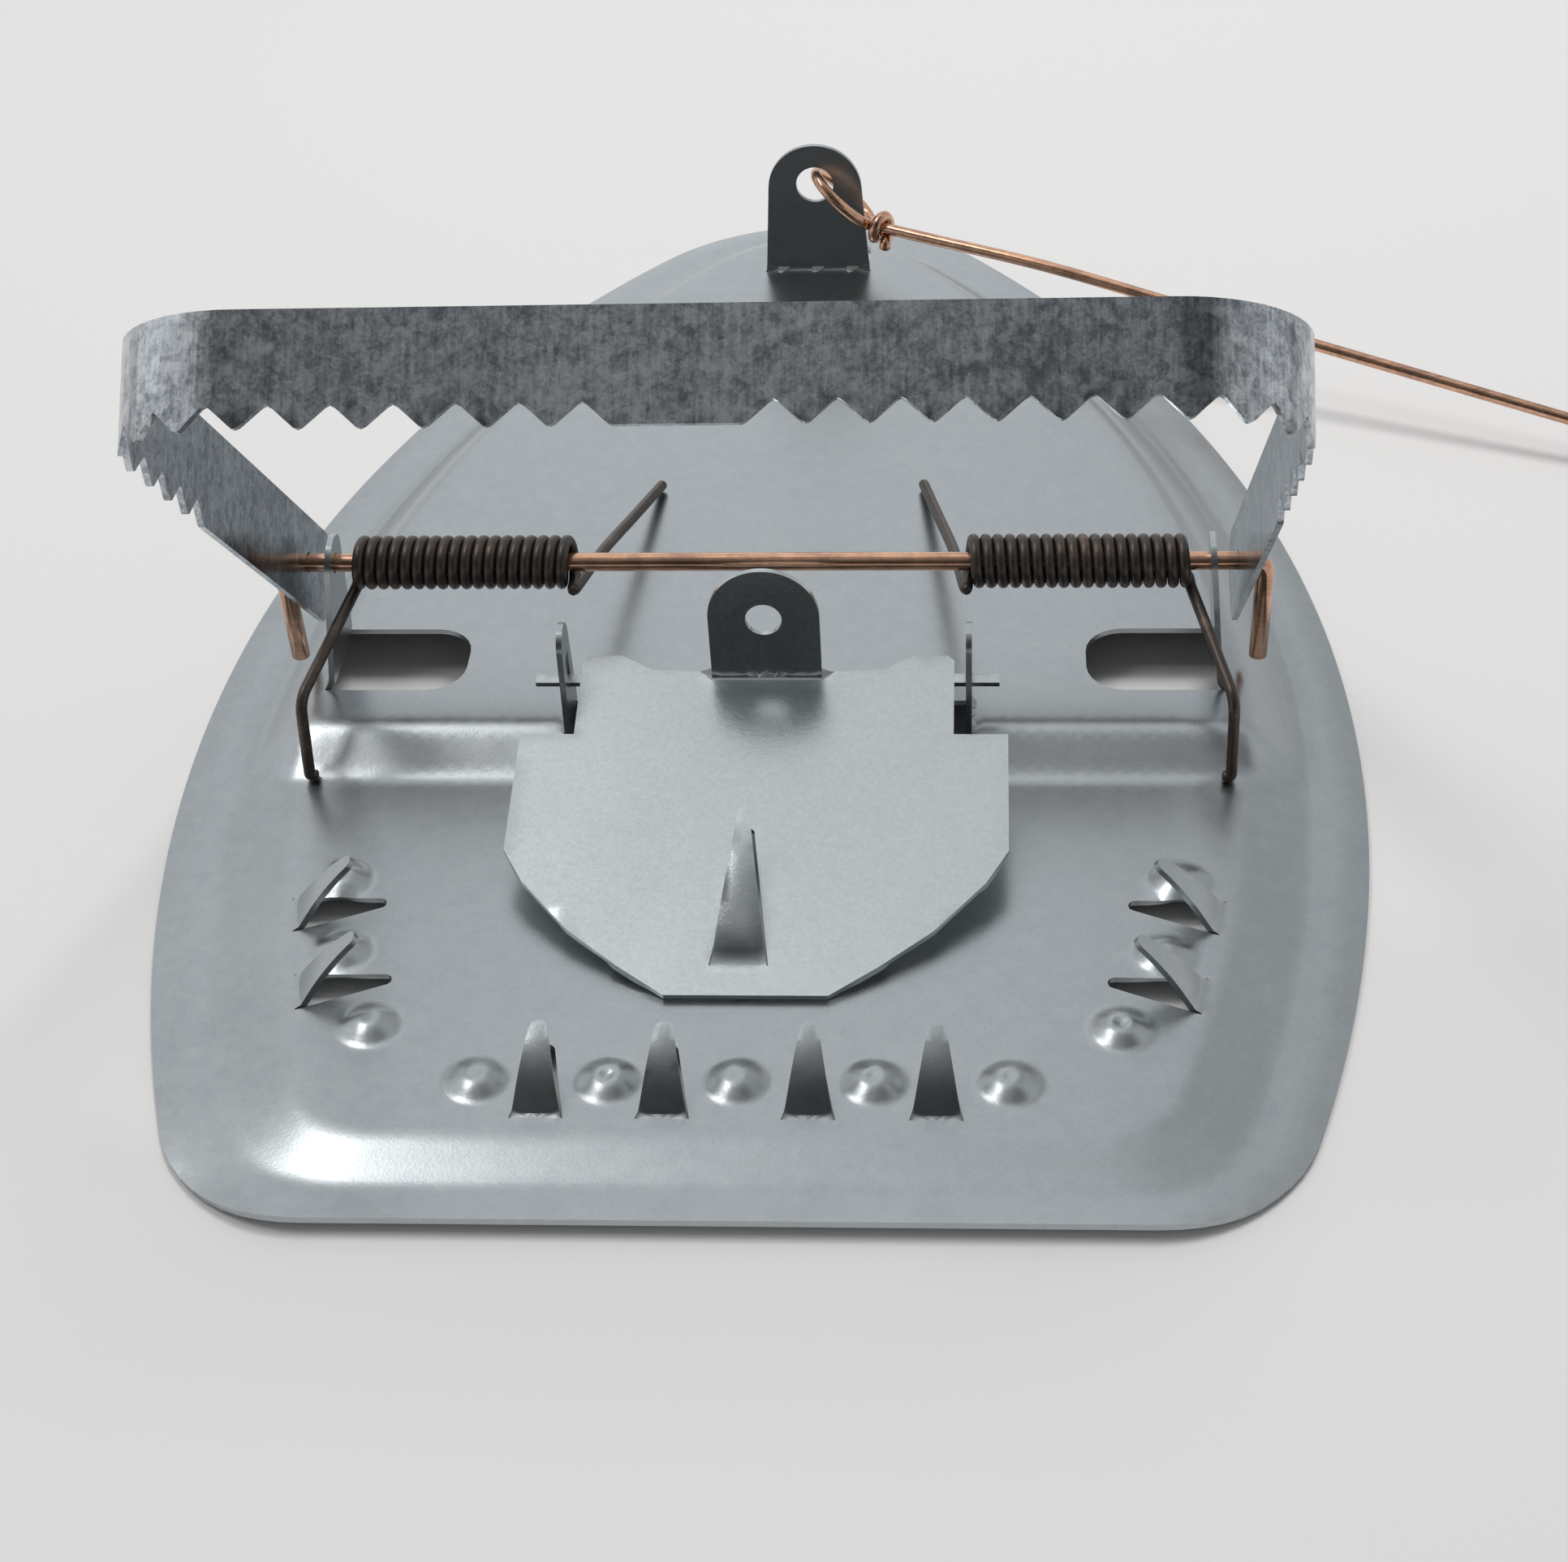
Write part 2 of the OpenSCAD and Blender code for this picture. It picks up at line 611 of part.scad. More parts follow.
// Trip rod: an eye through the rear tab's hole, a short wrap and a straight rod
eye_far = [eye_r * cos(eye_tilt) * cos(rod_heading), -eye_r * sin(rod_heading),
    -eye_r * sin(eye_tilt) * cos(rod_heading)];
module trip_rod() {
    color("sandybrown") translate([eye_x, tab_y - sheet / 2, eye_z]) {
        rotate([0, eye_tilt, 0]) rotate_extrude() translate([eye_r, 0]) circle(rod_r);
        translate(eye_far) rotate([0, 90 + rod_fall, -rod_heading]) {
            cylinder(r = rod_r, h = rod_len);
            for (i = [0:wrap_turns - 1]) translate([0, 0, wrap_start + i * wrap_pitch]) rotate([wrap_lean, 0, 0])
                rotate_extrude() translate([wrap_r, 0]) circle(rod_r);
        }
    }
}

base_plate();
axle();
spring_left();
spring_right();
jaw();
bait_plate();
trip_rod();
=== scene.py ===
"""Dresses the CAD frame of a stamped steel snap trap in formed sheet metal, wire and metal finishes.

Shapes are worked out in millimetres and become metres when a piece is made.
Every sheet piece is a flat blank that is cut, meshed, folded and then given its thickness.
"""

from collections import namedtuple
from math import acos, atan2, cos, degrees, hypot, pi, radians, sin, sqrt, tan

import bmesh
import bpy
import numpy as np
from mathutils import Matrix, Vector, geometry


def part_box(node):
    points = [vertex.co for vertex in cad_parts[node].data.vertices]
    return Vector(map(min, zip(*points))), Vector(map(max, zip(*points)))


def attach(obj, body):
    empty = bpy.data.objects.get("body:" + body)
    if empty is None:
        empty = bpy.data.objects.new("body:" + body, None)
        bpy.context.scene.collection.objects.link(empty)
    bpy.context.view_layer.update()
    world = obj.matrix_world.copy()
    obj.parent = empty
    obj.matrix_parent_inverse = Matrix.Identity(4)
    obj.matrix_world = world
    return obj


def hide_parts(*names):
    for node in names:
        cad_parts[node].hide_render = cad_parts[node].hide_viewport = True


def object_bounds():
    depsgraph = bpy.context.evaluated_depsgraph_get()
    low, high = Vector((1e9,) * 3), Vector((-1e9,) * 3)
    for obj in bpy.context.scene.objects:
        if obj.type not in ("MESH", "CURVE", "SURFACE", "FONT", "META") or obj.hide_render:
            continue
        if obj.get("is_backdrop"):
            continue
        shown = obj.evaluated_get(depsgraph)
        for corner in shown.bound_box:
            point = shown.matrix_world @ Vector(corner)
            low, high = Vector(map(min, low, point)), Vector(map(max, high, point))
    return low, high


bl_info = {
    "name": "Snap trap dresser",
    "version": (1, 0, 0),
    "blender": (4, 5, 0),
    "location": "View3D > Sidebar > Snap trap",
    "description": "Builds the folded sheet metal, wires and finishes of a stamped steel snap trap",
    "category": "Object",
}

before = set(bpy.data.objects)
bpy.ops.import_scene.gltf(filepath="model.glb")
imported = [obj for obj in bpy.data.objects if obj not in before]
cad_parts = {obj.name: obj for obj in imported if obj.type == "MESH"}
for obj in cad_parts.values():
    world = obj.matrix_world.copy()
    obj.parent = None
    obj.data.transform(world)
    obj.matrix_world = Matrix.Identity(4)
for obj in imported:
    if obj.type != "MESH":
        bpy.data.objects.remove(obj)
CAD_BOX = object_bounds()
MM = 0.001
BASE_LOW, BASE_HIGH = (np.array(corner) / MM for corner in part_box("base_plate"))
SIDES = (-1, 1)


def length(name, description, millimetres):
    """A size in a settings group."""
    return bpy.props.FloatProperty(
        name=name, description=description, default=millimetres * MM, min=0.0, precision=5, unit="LENGTH")


def turn(name, description, angle):
    """An angle in a settings group."""
    return bpy.props.FloatProperty(
        name=name, description=description, default=radians(angle), subtype="ANGLE")


def colour(name, description, rgb):
    """A colour in a settings group."""
    return bpy.props.FloatVectorProperty(
        name=name, description=description, default=rgb, size=3, min=0.0, max=1.0, subtype="COLOR")


class TrapSheetSettings(bpy.types.PropertyGroup):
    """Sizes of the sheet metal."""
    thickness: length("Sheet thickness", "Thickness of all the sheet metal", 0.5)
    base_width: length("Base width", "Greatest width of the base plate", BASE_HIGH[0] - BASE_LOW[0])
    base_length: length("Base length", "Length of the base plate", BASE_HIGH[1] - BASE_LOW[1])
    rim_width: length("Rim width", "Width of the flat rim along the sides", 5.5)
    slope_width: length("Slope width", "Run of the slope between rim and panel", 4.5)
    front_height: length("Front panel height", "Height of the front panel's top", 2.0)
    rear_height: length("Rear panel height", "Height of the rear panel's top", 4.5)
    spike_length: length("Spike length", "Length of a spike from its root", 7.6)
    spike_lean: turn("Spike lean", "Angle of a spike above the panel", 41)
    bump_height: length("Bump height", "Height of a bump", 1.0)
    jaw_angle: turn("Jaw angle", "Angle of the jaw above the front, as it stands", 47.8)
    tooth_pitch: length("Tooth pitch", "Pitch of the jaw's teeth", 4.12)
    tooth_depth: length("Tooth depth", "Depth of the jaw's teeth", 1.6)


class TrapWireSettings(bpy.types.PropertyGroup):
    """Sizes of the wires."""
    axle: length("Axle diameter", "Diameter of the axle wire", 1.6)
    spring: length("Spring wire diameter", "Diameter of the spring wire", 1.0)
    coil: length("Coil radius", "Radius of the coils at the middle of the wire", 1.85)
    turns: bpy.props.IntProperty(name="Spring turns", description="Turns of each spring", default=18, min=2)
    rod: length("Rod diameter", "Diameter of the trip rod", 1.2)


class TrapColourSettings(bpy.types.PropertyGroup):
    """Colours of the finishes and the stage."""
    zinc: colour("Zinc", "Zinc coat of the base plate", (0.50, 0.53, 0.545))
    zinc_dark: colour("Dark zinc", "Dull patches of the zinc coat", (0.40, 0.43, 0.45))
    strip: colour("Strip", "Bright crystals of the jaw's strip", (0.64, 0.67, 0.70))
    strip_dark: colour("Dark strip", "Dark crystals of the jaw's strip", (0.19, 0.21, 0.235))
    bait: colour("Bait plate", "Zinc coat of the bait plate", (0.60, 0.64, 0.64))
    copper: colour("Copper", "Copper wash of the axle and the rod", (0.80, 0.47, 0.31))
    copper_dark: colour("Dark copper", "Tarnished places of the copper wash", (0.46, 0.27, 0.19))
    spring: colour("Spring steel", "Oiled spring wire", (0.075, 0.062, 0.055))
    floor: colour("Floor", "Floor under the trap", (0.70, 0.69, 0.685))


GROUPS = {
    "trap_sheet": TrapSheetSettings,
    "trap_wire": TrapWireSettings,
    "trap_colours": TrapColourSettings,
}


# Outlines


def arc(cx, cy, r, start, end, steps):
    """Points of an arc between two angles in degrees."""
    angles = np.radians(np.linspace(start, end, steps + 1))
    return [(cx + r * cos(a), cy + r * sin(a)) for a in angles]


def mirrored(points):
    """The other half of an outline, running back the way it came."""
    return [(-x, y) for x, y in reversed(points)]


def spaced(points, step, closed=True):
    """An outline with points added so that none are further apart than a step."""
    result = []
    ends = points[1:] + points[:1] if closed else points[1:]
    for (x0, y0), (x1, y1) in zip(points, ends):
        parts = max(1, int(np.ceil(hypot(x1 - x0, y1 - y0) / step)))
        result += [(x0 + (x1 - x0) * i / parts, y0 + (y1 - y0) * i / parts) for i in range(parts)]
    return result if closed else result + [points[-1]]


def depth_inside(xy, ring):
    """Distance of each point from a closed outline, positive inside it."""
    xy = np.asarray(xy, float)
    start = np.asarray(ring, float)
    end = np.roll(start, -1, axis=0)
    run = end - start
    out = xy[:, None, :] - start
    share = np.clip((out * run).sum(2) / np.maximum((run * run).sum(1), 1e-12), 0, 1)
    gap = np.sqrt(((out - share[..., None] * run) ** 2).sum(2)).min(1)
    x, y = xy[:, :1], xy[:, 1:]
    crosses = (start[:, 1] > y) != (end[:, 1] > y)
    rise = np.where(run[:, 1] == 0, 1, run[:, 1])
    left = x < start[:, 0] + run[:, 0] * (y - start[:, 1]) / rise
    inside = (crosses & left).sum(1) % 2 == 1
    return np.where(inside, gap, -gap)


def staggered(x0, x1, y0, y1, dx, dy):
    """Rows of points, every other row moved half a step."""
    rows = max(2, round((y1 - y0) / dy) + 1)
    count = max(2, round((x1 - x0) / dx) + 1)
    xs = np.linspace(x0, x1, count)
    half = (x1 - x0) / (count - 1) / 2
    return [(x + (half if j % 2 else 0), y) for j, y in enumerate(np.linspace(y0, y1, rows)) for x in xs]


def clear_of(points, outline, holes, margin):
    """The points that lie inside an outline and outside its holes by a margin."""
    points = np.asarray(points, float)
    keep = depth_inside(points, outline) > margin
    for hole in holes:
        keep &= depth_inside(points, hole) < -margin
    return [tuple(p) for p in points[keep]]


def blank(outline, holes=(), points=()):
    """Meshes a flat blank: its outline and holes are kept as edges. Returns flat points and triangles."""
    flat, edges = [], []
    for ring in [outline, *holes]:
        first, count = len(flat), len(ring)
        flat += [Vector(p) for p in ring]
        edges += [(first + i, first + (i + 1) % count) for i in range(count)]
    flat += [Vector(p) for p in points]
    found = geometry.delaunay_2d_cdt(flat, edges, [], 0, 1e-5)
    xy = np.array([tuple(v) for v in found[0]])
    faces = np.array(found[2])
    corners = xy[faces]
    middle = corners.mean(1)
    keep = depth_inside(middle, outline) > 0
    for hole in holes:
        keep &= depth_inside(middle, hole) < 0
    first, second = corners[:, 1] - corners[:, 0], corners[:, 2] - corners[:, 0]
    area = first[:, 0] * second[:, 1] - first[:, 1] * second[:, 0]
    keep &= np.abs(area) > 1e-6
    faces[area < 0] = faces[area < 0][:, ::-1]
    return xy, faces[keep]


class Fold:
    """Side view of a strip: it runs on and turns up by the angles of its runs, each (length, degrees)."""

    def __init__(self, *runs, step=0.02):
        heading, place = [0.0], [(0.0, 0.0)]
        for run, angle in runs:
            parts = max(1, int(np.ceil(run / step)))
            for _ in range(parts):
                middle = heading[-1] + radians(angle) / parts / 2
                x, y = place[-1]
                place.append((x + run / parts * cos(middle), y + run / parts * sin(middle)))
                heading.append(heading[-1] + radians(angle) / parts)
        self.place = np.array(place)
        self.along = np.concatenate([[0], np.cumsum(np.hypot(*np.diff(self.place, axis=0).T))])
        self.heading = heading[-1]

    def __call__(self, s):
        """Distance out and height at each distance along the strip; it runs on straight at both ends."""
        s = np.asarray(s, float)
        out = np.interp(s, self.along, self.place[:, 0])
        up = np.interp(s, self.along, self.place[:, 1])
        extra = np.maximum(s - self.along[-1], 0)
        before = np.minimum(s, 0)
        return out + extra * cos(self.heading) + before, up + extra * sin(self.heading)


def set_out(u, out, up, origin, toward):
    """Places a folded strip: it starts at origin, runs toward a level direction and folds upward."""
    forward = np.array(toward, float) / np.linalg.norm(toward)
    upward = np.array((0, 0, 1), float)
    across = np.cross(forward, upward)
    return np.array(origin, float) + np.outer(u, across) + np.outer(out, forward) + np.outer(up, upward)


def tipped(points, angle, origin):
    """Turns points about the X axis and moves them to an origin."""
    c, s = cos(angle), sin(angle)
    x, y, z = np.asarray(points, float).T
    return np.stack([x, c * y - s * z, s * y + c * z], axis=1) + np.array(origin, float)


def circle(cx, cy, r, count=20):
    """Points of a full circle."""
    return arc(cx, cy, r, 0, 360 * (count - 1) / count, count - 1)


def soft_ramp(t, soften):
    """0 below 0, 1 above 1 and straight between, with both corners rounded."""
    t = np.asarray(t, float)

    def corner(v):
        return np.where(v < -soften, 0, np.where(v > soften, v, (v + soften) ** 2 / (4 * soften)))

    return corner(t) - corner(t - 1)


# Sizes shared by the pieces


class Plan:
    """Sizes in millimetres that several pieces share."""

    def __init__(self, scene):
        sheet = scene.trap_sheet
        length, widest_from_front, step_share, tab_from_rear = sheet.base_length / MM, 54, 0.321, 17.2
        self.t, self.bend = sheet.thickness / MM, 0.4
        self.half = sheet.base_width / MM / 2
        self.rim, self.slope = sheet.rim_width / MM, sheet.slope_width / MM
        self.rim_front = 3.0
        self.front_y = -self.rim_front / 2
        self.rear_y = self.front_y + length
        self.widest = self.front_y + widest_from_front
        self.nose, self.corner = 23.2, 13.0
        self.panel_half = self.half - self.rim - self.slope
        self.front_z, self.rear_z = sheet.front_height / MM, sheet.rear_height / MM
        self.step_y, self.step_run = self.front_y + length * step_share, 4.8
        self.tab_x, self.tab_y, self.tab_hole_rise = 0.35, self.rear_y - tab_from_rear, 10.1
        self.tab_hole_z = self.rear_z + self.tab_hole_rise
        self.set_pivots(scene.trap_wire)
        self.set_jaw()

    def set_pivots(self, wires):
        """The axle and the bait plate's pivot, the ears that hold them and the plate's tilt at rest."""
        behind_step, ear_inset, before_axle, pivot_rise, rest_gap = 9.2, 2, 8.7, 4.3, 0.1
        self.axle_r, self.axle_rise, self.ear_lean = wires.axle / MM / 2, 10.5, 5.0
        self.axle_y = self.step_y + self.step_run + behind_step
        self.axle_z = self.rear_z + self.axle_rise
        self.ear_drift = self.axle_rise * tan(radians(self.ear_lean))
        self.ear_x = self.panel_half - ear_inset - self.ear_drift
        self.bait_y, self.bait_z = self.axle_y - before_axle, self.rear_z + pivot_rise
        self.short_ear_x, self.bait_length = 17.2, 32.6
        drop = self.bait_z - self.front_z - self.t / 2 - rest_gap
        self.bait_tilt = np.arcsin(drop / self.bait_length)

    def set_jaw(self):
        """The jaw's strip and its reach, with which it closes just above the front panel."""
        beyond_ear, closed_gap, ahead_of_panel = 2.6, 0.33, 0.5
        self.jaw_half = self.ear_x + beyond_ear
        self.jaw_corner, self.jaw_width, self.jaw_tail = 10.0, 8.0, 7.5
        closed = self.axle_z - self.front_z - closed_gap
        ahead = self.axle_y - (self.front_y + self.rim_front + self.slope) + ahead_of_panel
        self.jaw_reach = sqrt(ahead ** 2 + closed ** 2 - (self.jaw_width / 2) ** 2)

    def shield(self, t, step):
        """The base's outline drawn in: t is 0 at the slope's foot and 1 at its top."""
        inset, front = self.rim + self.slope * t, self.rim_front + self.slope * t
        return self.shield_at(inset, front, self.corner - 3 - 3 * t, step)

    def shield_at(self, inset, front, corner, step):
        """A shield outline with its sides and its front drawn in."""
        h, y0, y1 = self.half - inset, self.front_y + front, self.rear_y - inset
        rn, rear = self.nose - inset, self.rear_y - inset - self.widest
        r = side_radius(h, rear, rn)
        sx, dy = h - r, self.widest - y0 - corner
        cx = sx + sqrt((r - corner) ** 2 - dy * dy)
        a1, a2 = degrees(atan2(-dy, cx - sx)), degrees(atan2(rear - rn, -sx))
        right = (arc(cx, y0 + corner, corner, -90, a1, 10)
                 + arc(sx, self.widest, r, a1, a2, 60)[1:]
                 + arc(0, y1 - rn, rn, a2, 90, 14)[1:])
        return spaced(right + mirrored(right)[1:], step)

    def panel_x(self, y):
        """Half width of the raised panel at a distance from the front."""
        rear = self.rear_y - self.rim - self.slope - self.widest
        r = side_radius(self.panel_half, rear, self.nose - self.rim - self.slope)
        return self.panel_half - r + sqrt(r * r - (y - self.widest) ** 2)


def side_radius(half, rear, nose):
    """Radius of a shield's sides from half its width, its run to the rear and its nose's radius."""
    return (half * half + rear * rear - 2 * nose * rear) / (2 * (half - nose))


# Making pieces


def unit(v):
    """A direction of length 1."""
    return v / np.linalg.norm(v)


def make(name, parts, merge=0.0):
    """A new object from parts, each points and faces, in millimetres; settle() brings it to metres."""
    points, faces = [], []
    for part_points, part_faces in parts:
        faces += [[int(i) + len(points) for i in face] for face in part_faces]
        points += np.asarray(part_points, float).tolist()
    mesh = bpy.data.meshes.new(name)
    mesh.from_pydata(points, [], faces)
    if merge:
        made = bmesh.new()
        made.from_mesh(mesh)
        bmesh.ops.remove_doubles(made, verts=made.verts, dist=merge)
        made.to_mesh(mesh)
        made.free()
    mesh.validate()
    obj = bpy.data.objects.new(name, mesh)
    bpy.context.collection.objects.link(obj)
    return obj


def settle(obj, smooth=50):
    """Applies the object's modifiers, brings it to metres and smooths all but its sharp edges."""
    if obj.modifiers:
        bpy.context.view_layer.update()
        done = bpy.data.meshes.new_from_object(obj.evaluated_get(bpy.context.evaluated_depsgraph_get()))
        obj.modifiers.clear()
        obj.data = done
    obj.data.transform(Matrix.Scale(MM, 4))
    obj.data.shade_smooth()
    obj.data.set_sharp_from_angle(angle=radians(smooth))
    return obj


def thicken(obj, thickness):
    """Gives a sheet its thickness below the drawn face, and breaks its cut edges."""
    edge, least_cut, least_fold = 0.07, 50, 21
    solid = obj.modifiers.new("thickness", "SOLIDIFY")
    solid.thickness = thickness
    solid.offset = -1
    solid.use_even_offset = False
    solid.use_quality_normals = True
    broken = obj.modifiers.new("edges", "BEVEL")
    broken.width = edge
    broken.segments = 2
    broken.limit_method = "ANGLE"
    broken.angle_limit = radians(least_cut)
    return settle(obj, least_fold)


def wire(points, r, sides):
    """A round wire along a route, without twist, with slightly rounded ends."""
    least_step, cut, narrow = 1e-4, 0.25 * r, 0.72
    p = np.asarray(points, float)
    p = p[np.append(True, np.linalg.norm(np.diff(p, axis=0), axis=1) > least_step)]
    seg = np.diff(p, axis=0)
    seg = seg / np.linalg.norm(seg, axis=1)[:, None]
    heading = np.vstack([seg[:1], seg[:-1] + seg[1:], seg[-1:]])
    heading = heading / np.linalg.norm(heading, axis=1)[:, None]
    side = unit(np.cross(heading[0], (0, 0, 1) if abs(heading[0][2]) < 0.9 else (1, 0, 0)))
    frames = []
    for i, h in enumerate(heading):
        side = unit(side - h * side.dot(h))
        frames.append((p[i], side, np.cross(h, side), 1.0))
    (p0, s0, n0, _), (p1, s1, n1, _) = frames[0], frames[-1]
    frames[0] = (p0 + heading[0] * cut, s0, n0, 1.0)
    frames[-1] = (p1 - heading[-1] * cut, s1, n1, 1.0)
    frames = [(p0, s0, n0, narrow)] + frames + [(p1, s1, n1, narrow)]
    turns = 2 * pi * np.arange(sides) / sides
    points = np.concatenate([
        at + r * scale * (np.outer(np.cos(turns), a) + np.outer(np.sin(turns), b))
        for at, a, b, scale in frames])
    faces = []
    for i in range(len(frames) - 1):
        for k in range(sides):
            a, b = i * sides + k, i * sides + (k + 1) % sides
            faces.append((a, b, b + sides, a + sides))
    faces.append(tuple(reversed(range(sides))))
    last = (len(frames) - 1) * sides
    faces.append(tuple(range(last, last + sides)))
    return points, faces


def rounded_route(points, radii, parts=12):
    """A route with its corners rounded; one radius for each inner point."""
    p = [np.array(q, float) for q in points]
    route = [p[0]]
    for before, at, after, r in zip(p, p[1:], p[2:], radii):
        back, on = unit(before - at), unit(after - at)
        half = acos(max(-1, min(1, back.dot(on)))) / 2
        reach = r / tan(half)
        centre = at + unit(back + on) * (r / sin(half))
        start, end = at + back * reach - centre, at + on * reach - centre
        sweep = pi - 2 * half
        for i in range(parts + 1):
            t = i / parts
            route.append(centre + (sin((1 - t) * sweep) * start + sin(t * sweep) * end) / sin(sweep))
    return route + [p[-1]]


def smooth_route(points, parts):
    """A curve through every point."""
    p = [np.array(q, float) for q in points]
    p = [2 * p[0] - p[1]] + p + [2 * p[-1] - p[-2]]
    route = []
    for a, b, c, d in zip(p, p[1:], p[2:], p[3:]):
        for i in range(parts):
            t = i / parts
            route.append(0.5 * (2 * b + (c - a) * t + (2 * a - 5 * b + 4 * c - d) * t ** 2
                                + (3 * b - a - 3 * c + d) * t ** 3))
    return route + [p[-2]]


def dress(obj, body, finish, node):
    """Gives a piece its finish and lets it stand for its CAD node."""
    obj.data.materials.clear()
    obj.data.materials.append(finish)
    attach(obj, body)
    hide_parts(node)


# Tongues


# Side clearance of a cut, and the number of parts across a tongue's root
CUT, ROOT_PARTS = 0.12, 6


# A tongue cut from the base: its right side and its opening's are drawn flat, with the root along X
Tongue = namedtuple("Tongue", "side opening root_w place toward fold holes step")


def root_line(w):
    """Points across a root, from left to right."""
    return [(-(w / 2 - w * i / ROOT_PARTS), 0.0) for i in range(ROOT_PARTS + 1)]


def turned(points, x, y, toward):
    """Moves an outline so that its +Y runs toward a direction, in degrees."""
    c, s = cos(radians(toward)), sin(radians(toward))
    return [(x + py * c + px * s, y + py * s - px * c) for px, py in points]


def tongue_side(w, h, r, parts=12):
    """Right side of a tongue: from its foot it runs in to a round top at height h."""
    d = hypot(w / 2, h)
    a = degrees(acos(r / d)) - degrees(atan2(h, w / 2))
    return [(w / 2, 0.0)] + arc(0, h, r, a, 90, parts)


def slot_side(root_w, w, run, r):
    """Right side of a round-cornered slot that starts at a root."""
    return [(root_w / 2 + CUT, 0.0), (w / 2, 0.35)] + arc(w / 2 - r, run - r, r, 0, 90, 6) + [(0.0, run)]


def other_side(right):
    """The left side of an outline, without its tip where the right side has it."""
    left = mirrored(right)
    return left[1:] if right[-1][0] < 1e-6 else left


def whole(right):
    """A tongue's full outline from its right side, with points across its root."""
    return right + other_side(right) + root_line(2 * right[0][0])[1:-1]


def lanced_hole(right, root_w):
    """Opening round a tongue, which meets it along the root only."""
    side = spaced(right, 1.2, closed=False)
    return side + other_side(side) + root_line(root_w)


def developed(height, bend, angle=90):
    """Distance along a tongue to a height above its panel, once it is folded up."""
    a = radians(angle)
    return bend * a + (height - bend * (1 - cos(a))) / sin(a)


# Base plate


SPIKE_WIDTH, SPIKE_FOOT, SIDE_SPIKE_TURN = 3.8, 0.55, 78
FRONT_SPIKES = (-14.8, -5.35, 5.5, 15.0)
FRONT_BUMPS = (-19.75, -9.8, -0.1, 10.25, 20.4)
# Rows at the sides: how far behind the front spikes, and how far in from the slope
SIDE_SPIKES = ((13.2, 1.4), (22.1, 1.4))
SIDE_BUMPS = ((9.6, 7.0), (17.8, 5.4), (26.3, 5.4))
BUMP_RADIUS, DIMPLE_RADIUS = 2.6, 0.62
BUMP_RINGS = (0.3, 0.55, 0.8, 1.05, 1.35, 1.7, 2.05, 2.4, 2.75, 3.1)
DIMPLES = (0.22, 0.42, 0.2, 0.3, 0.24, 0.12, 0.18)
# Shares of the slope and of the step that their rounded corners take
SLOPE_SOFT, STEP_SOFT = 0.21, 0.13


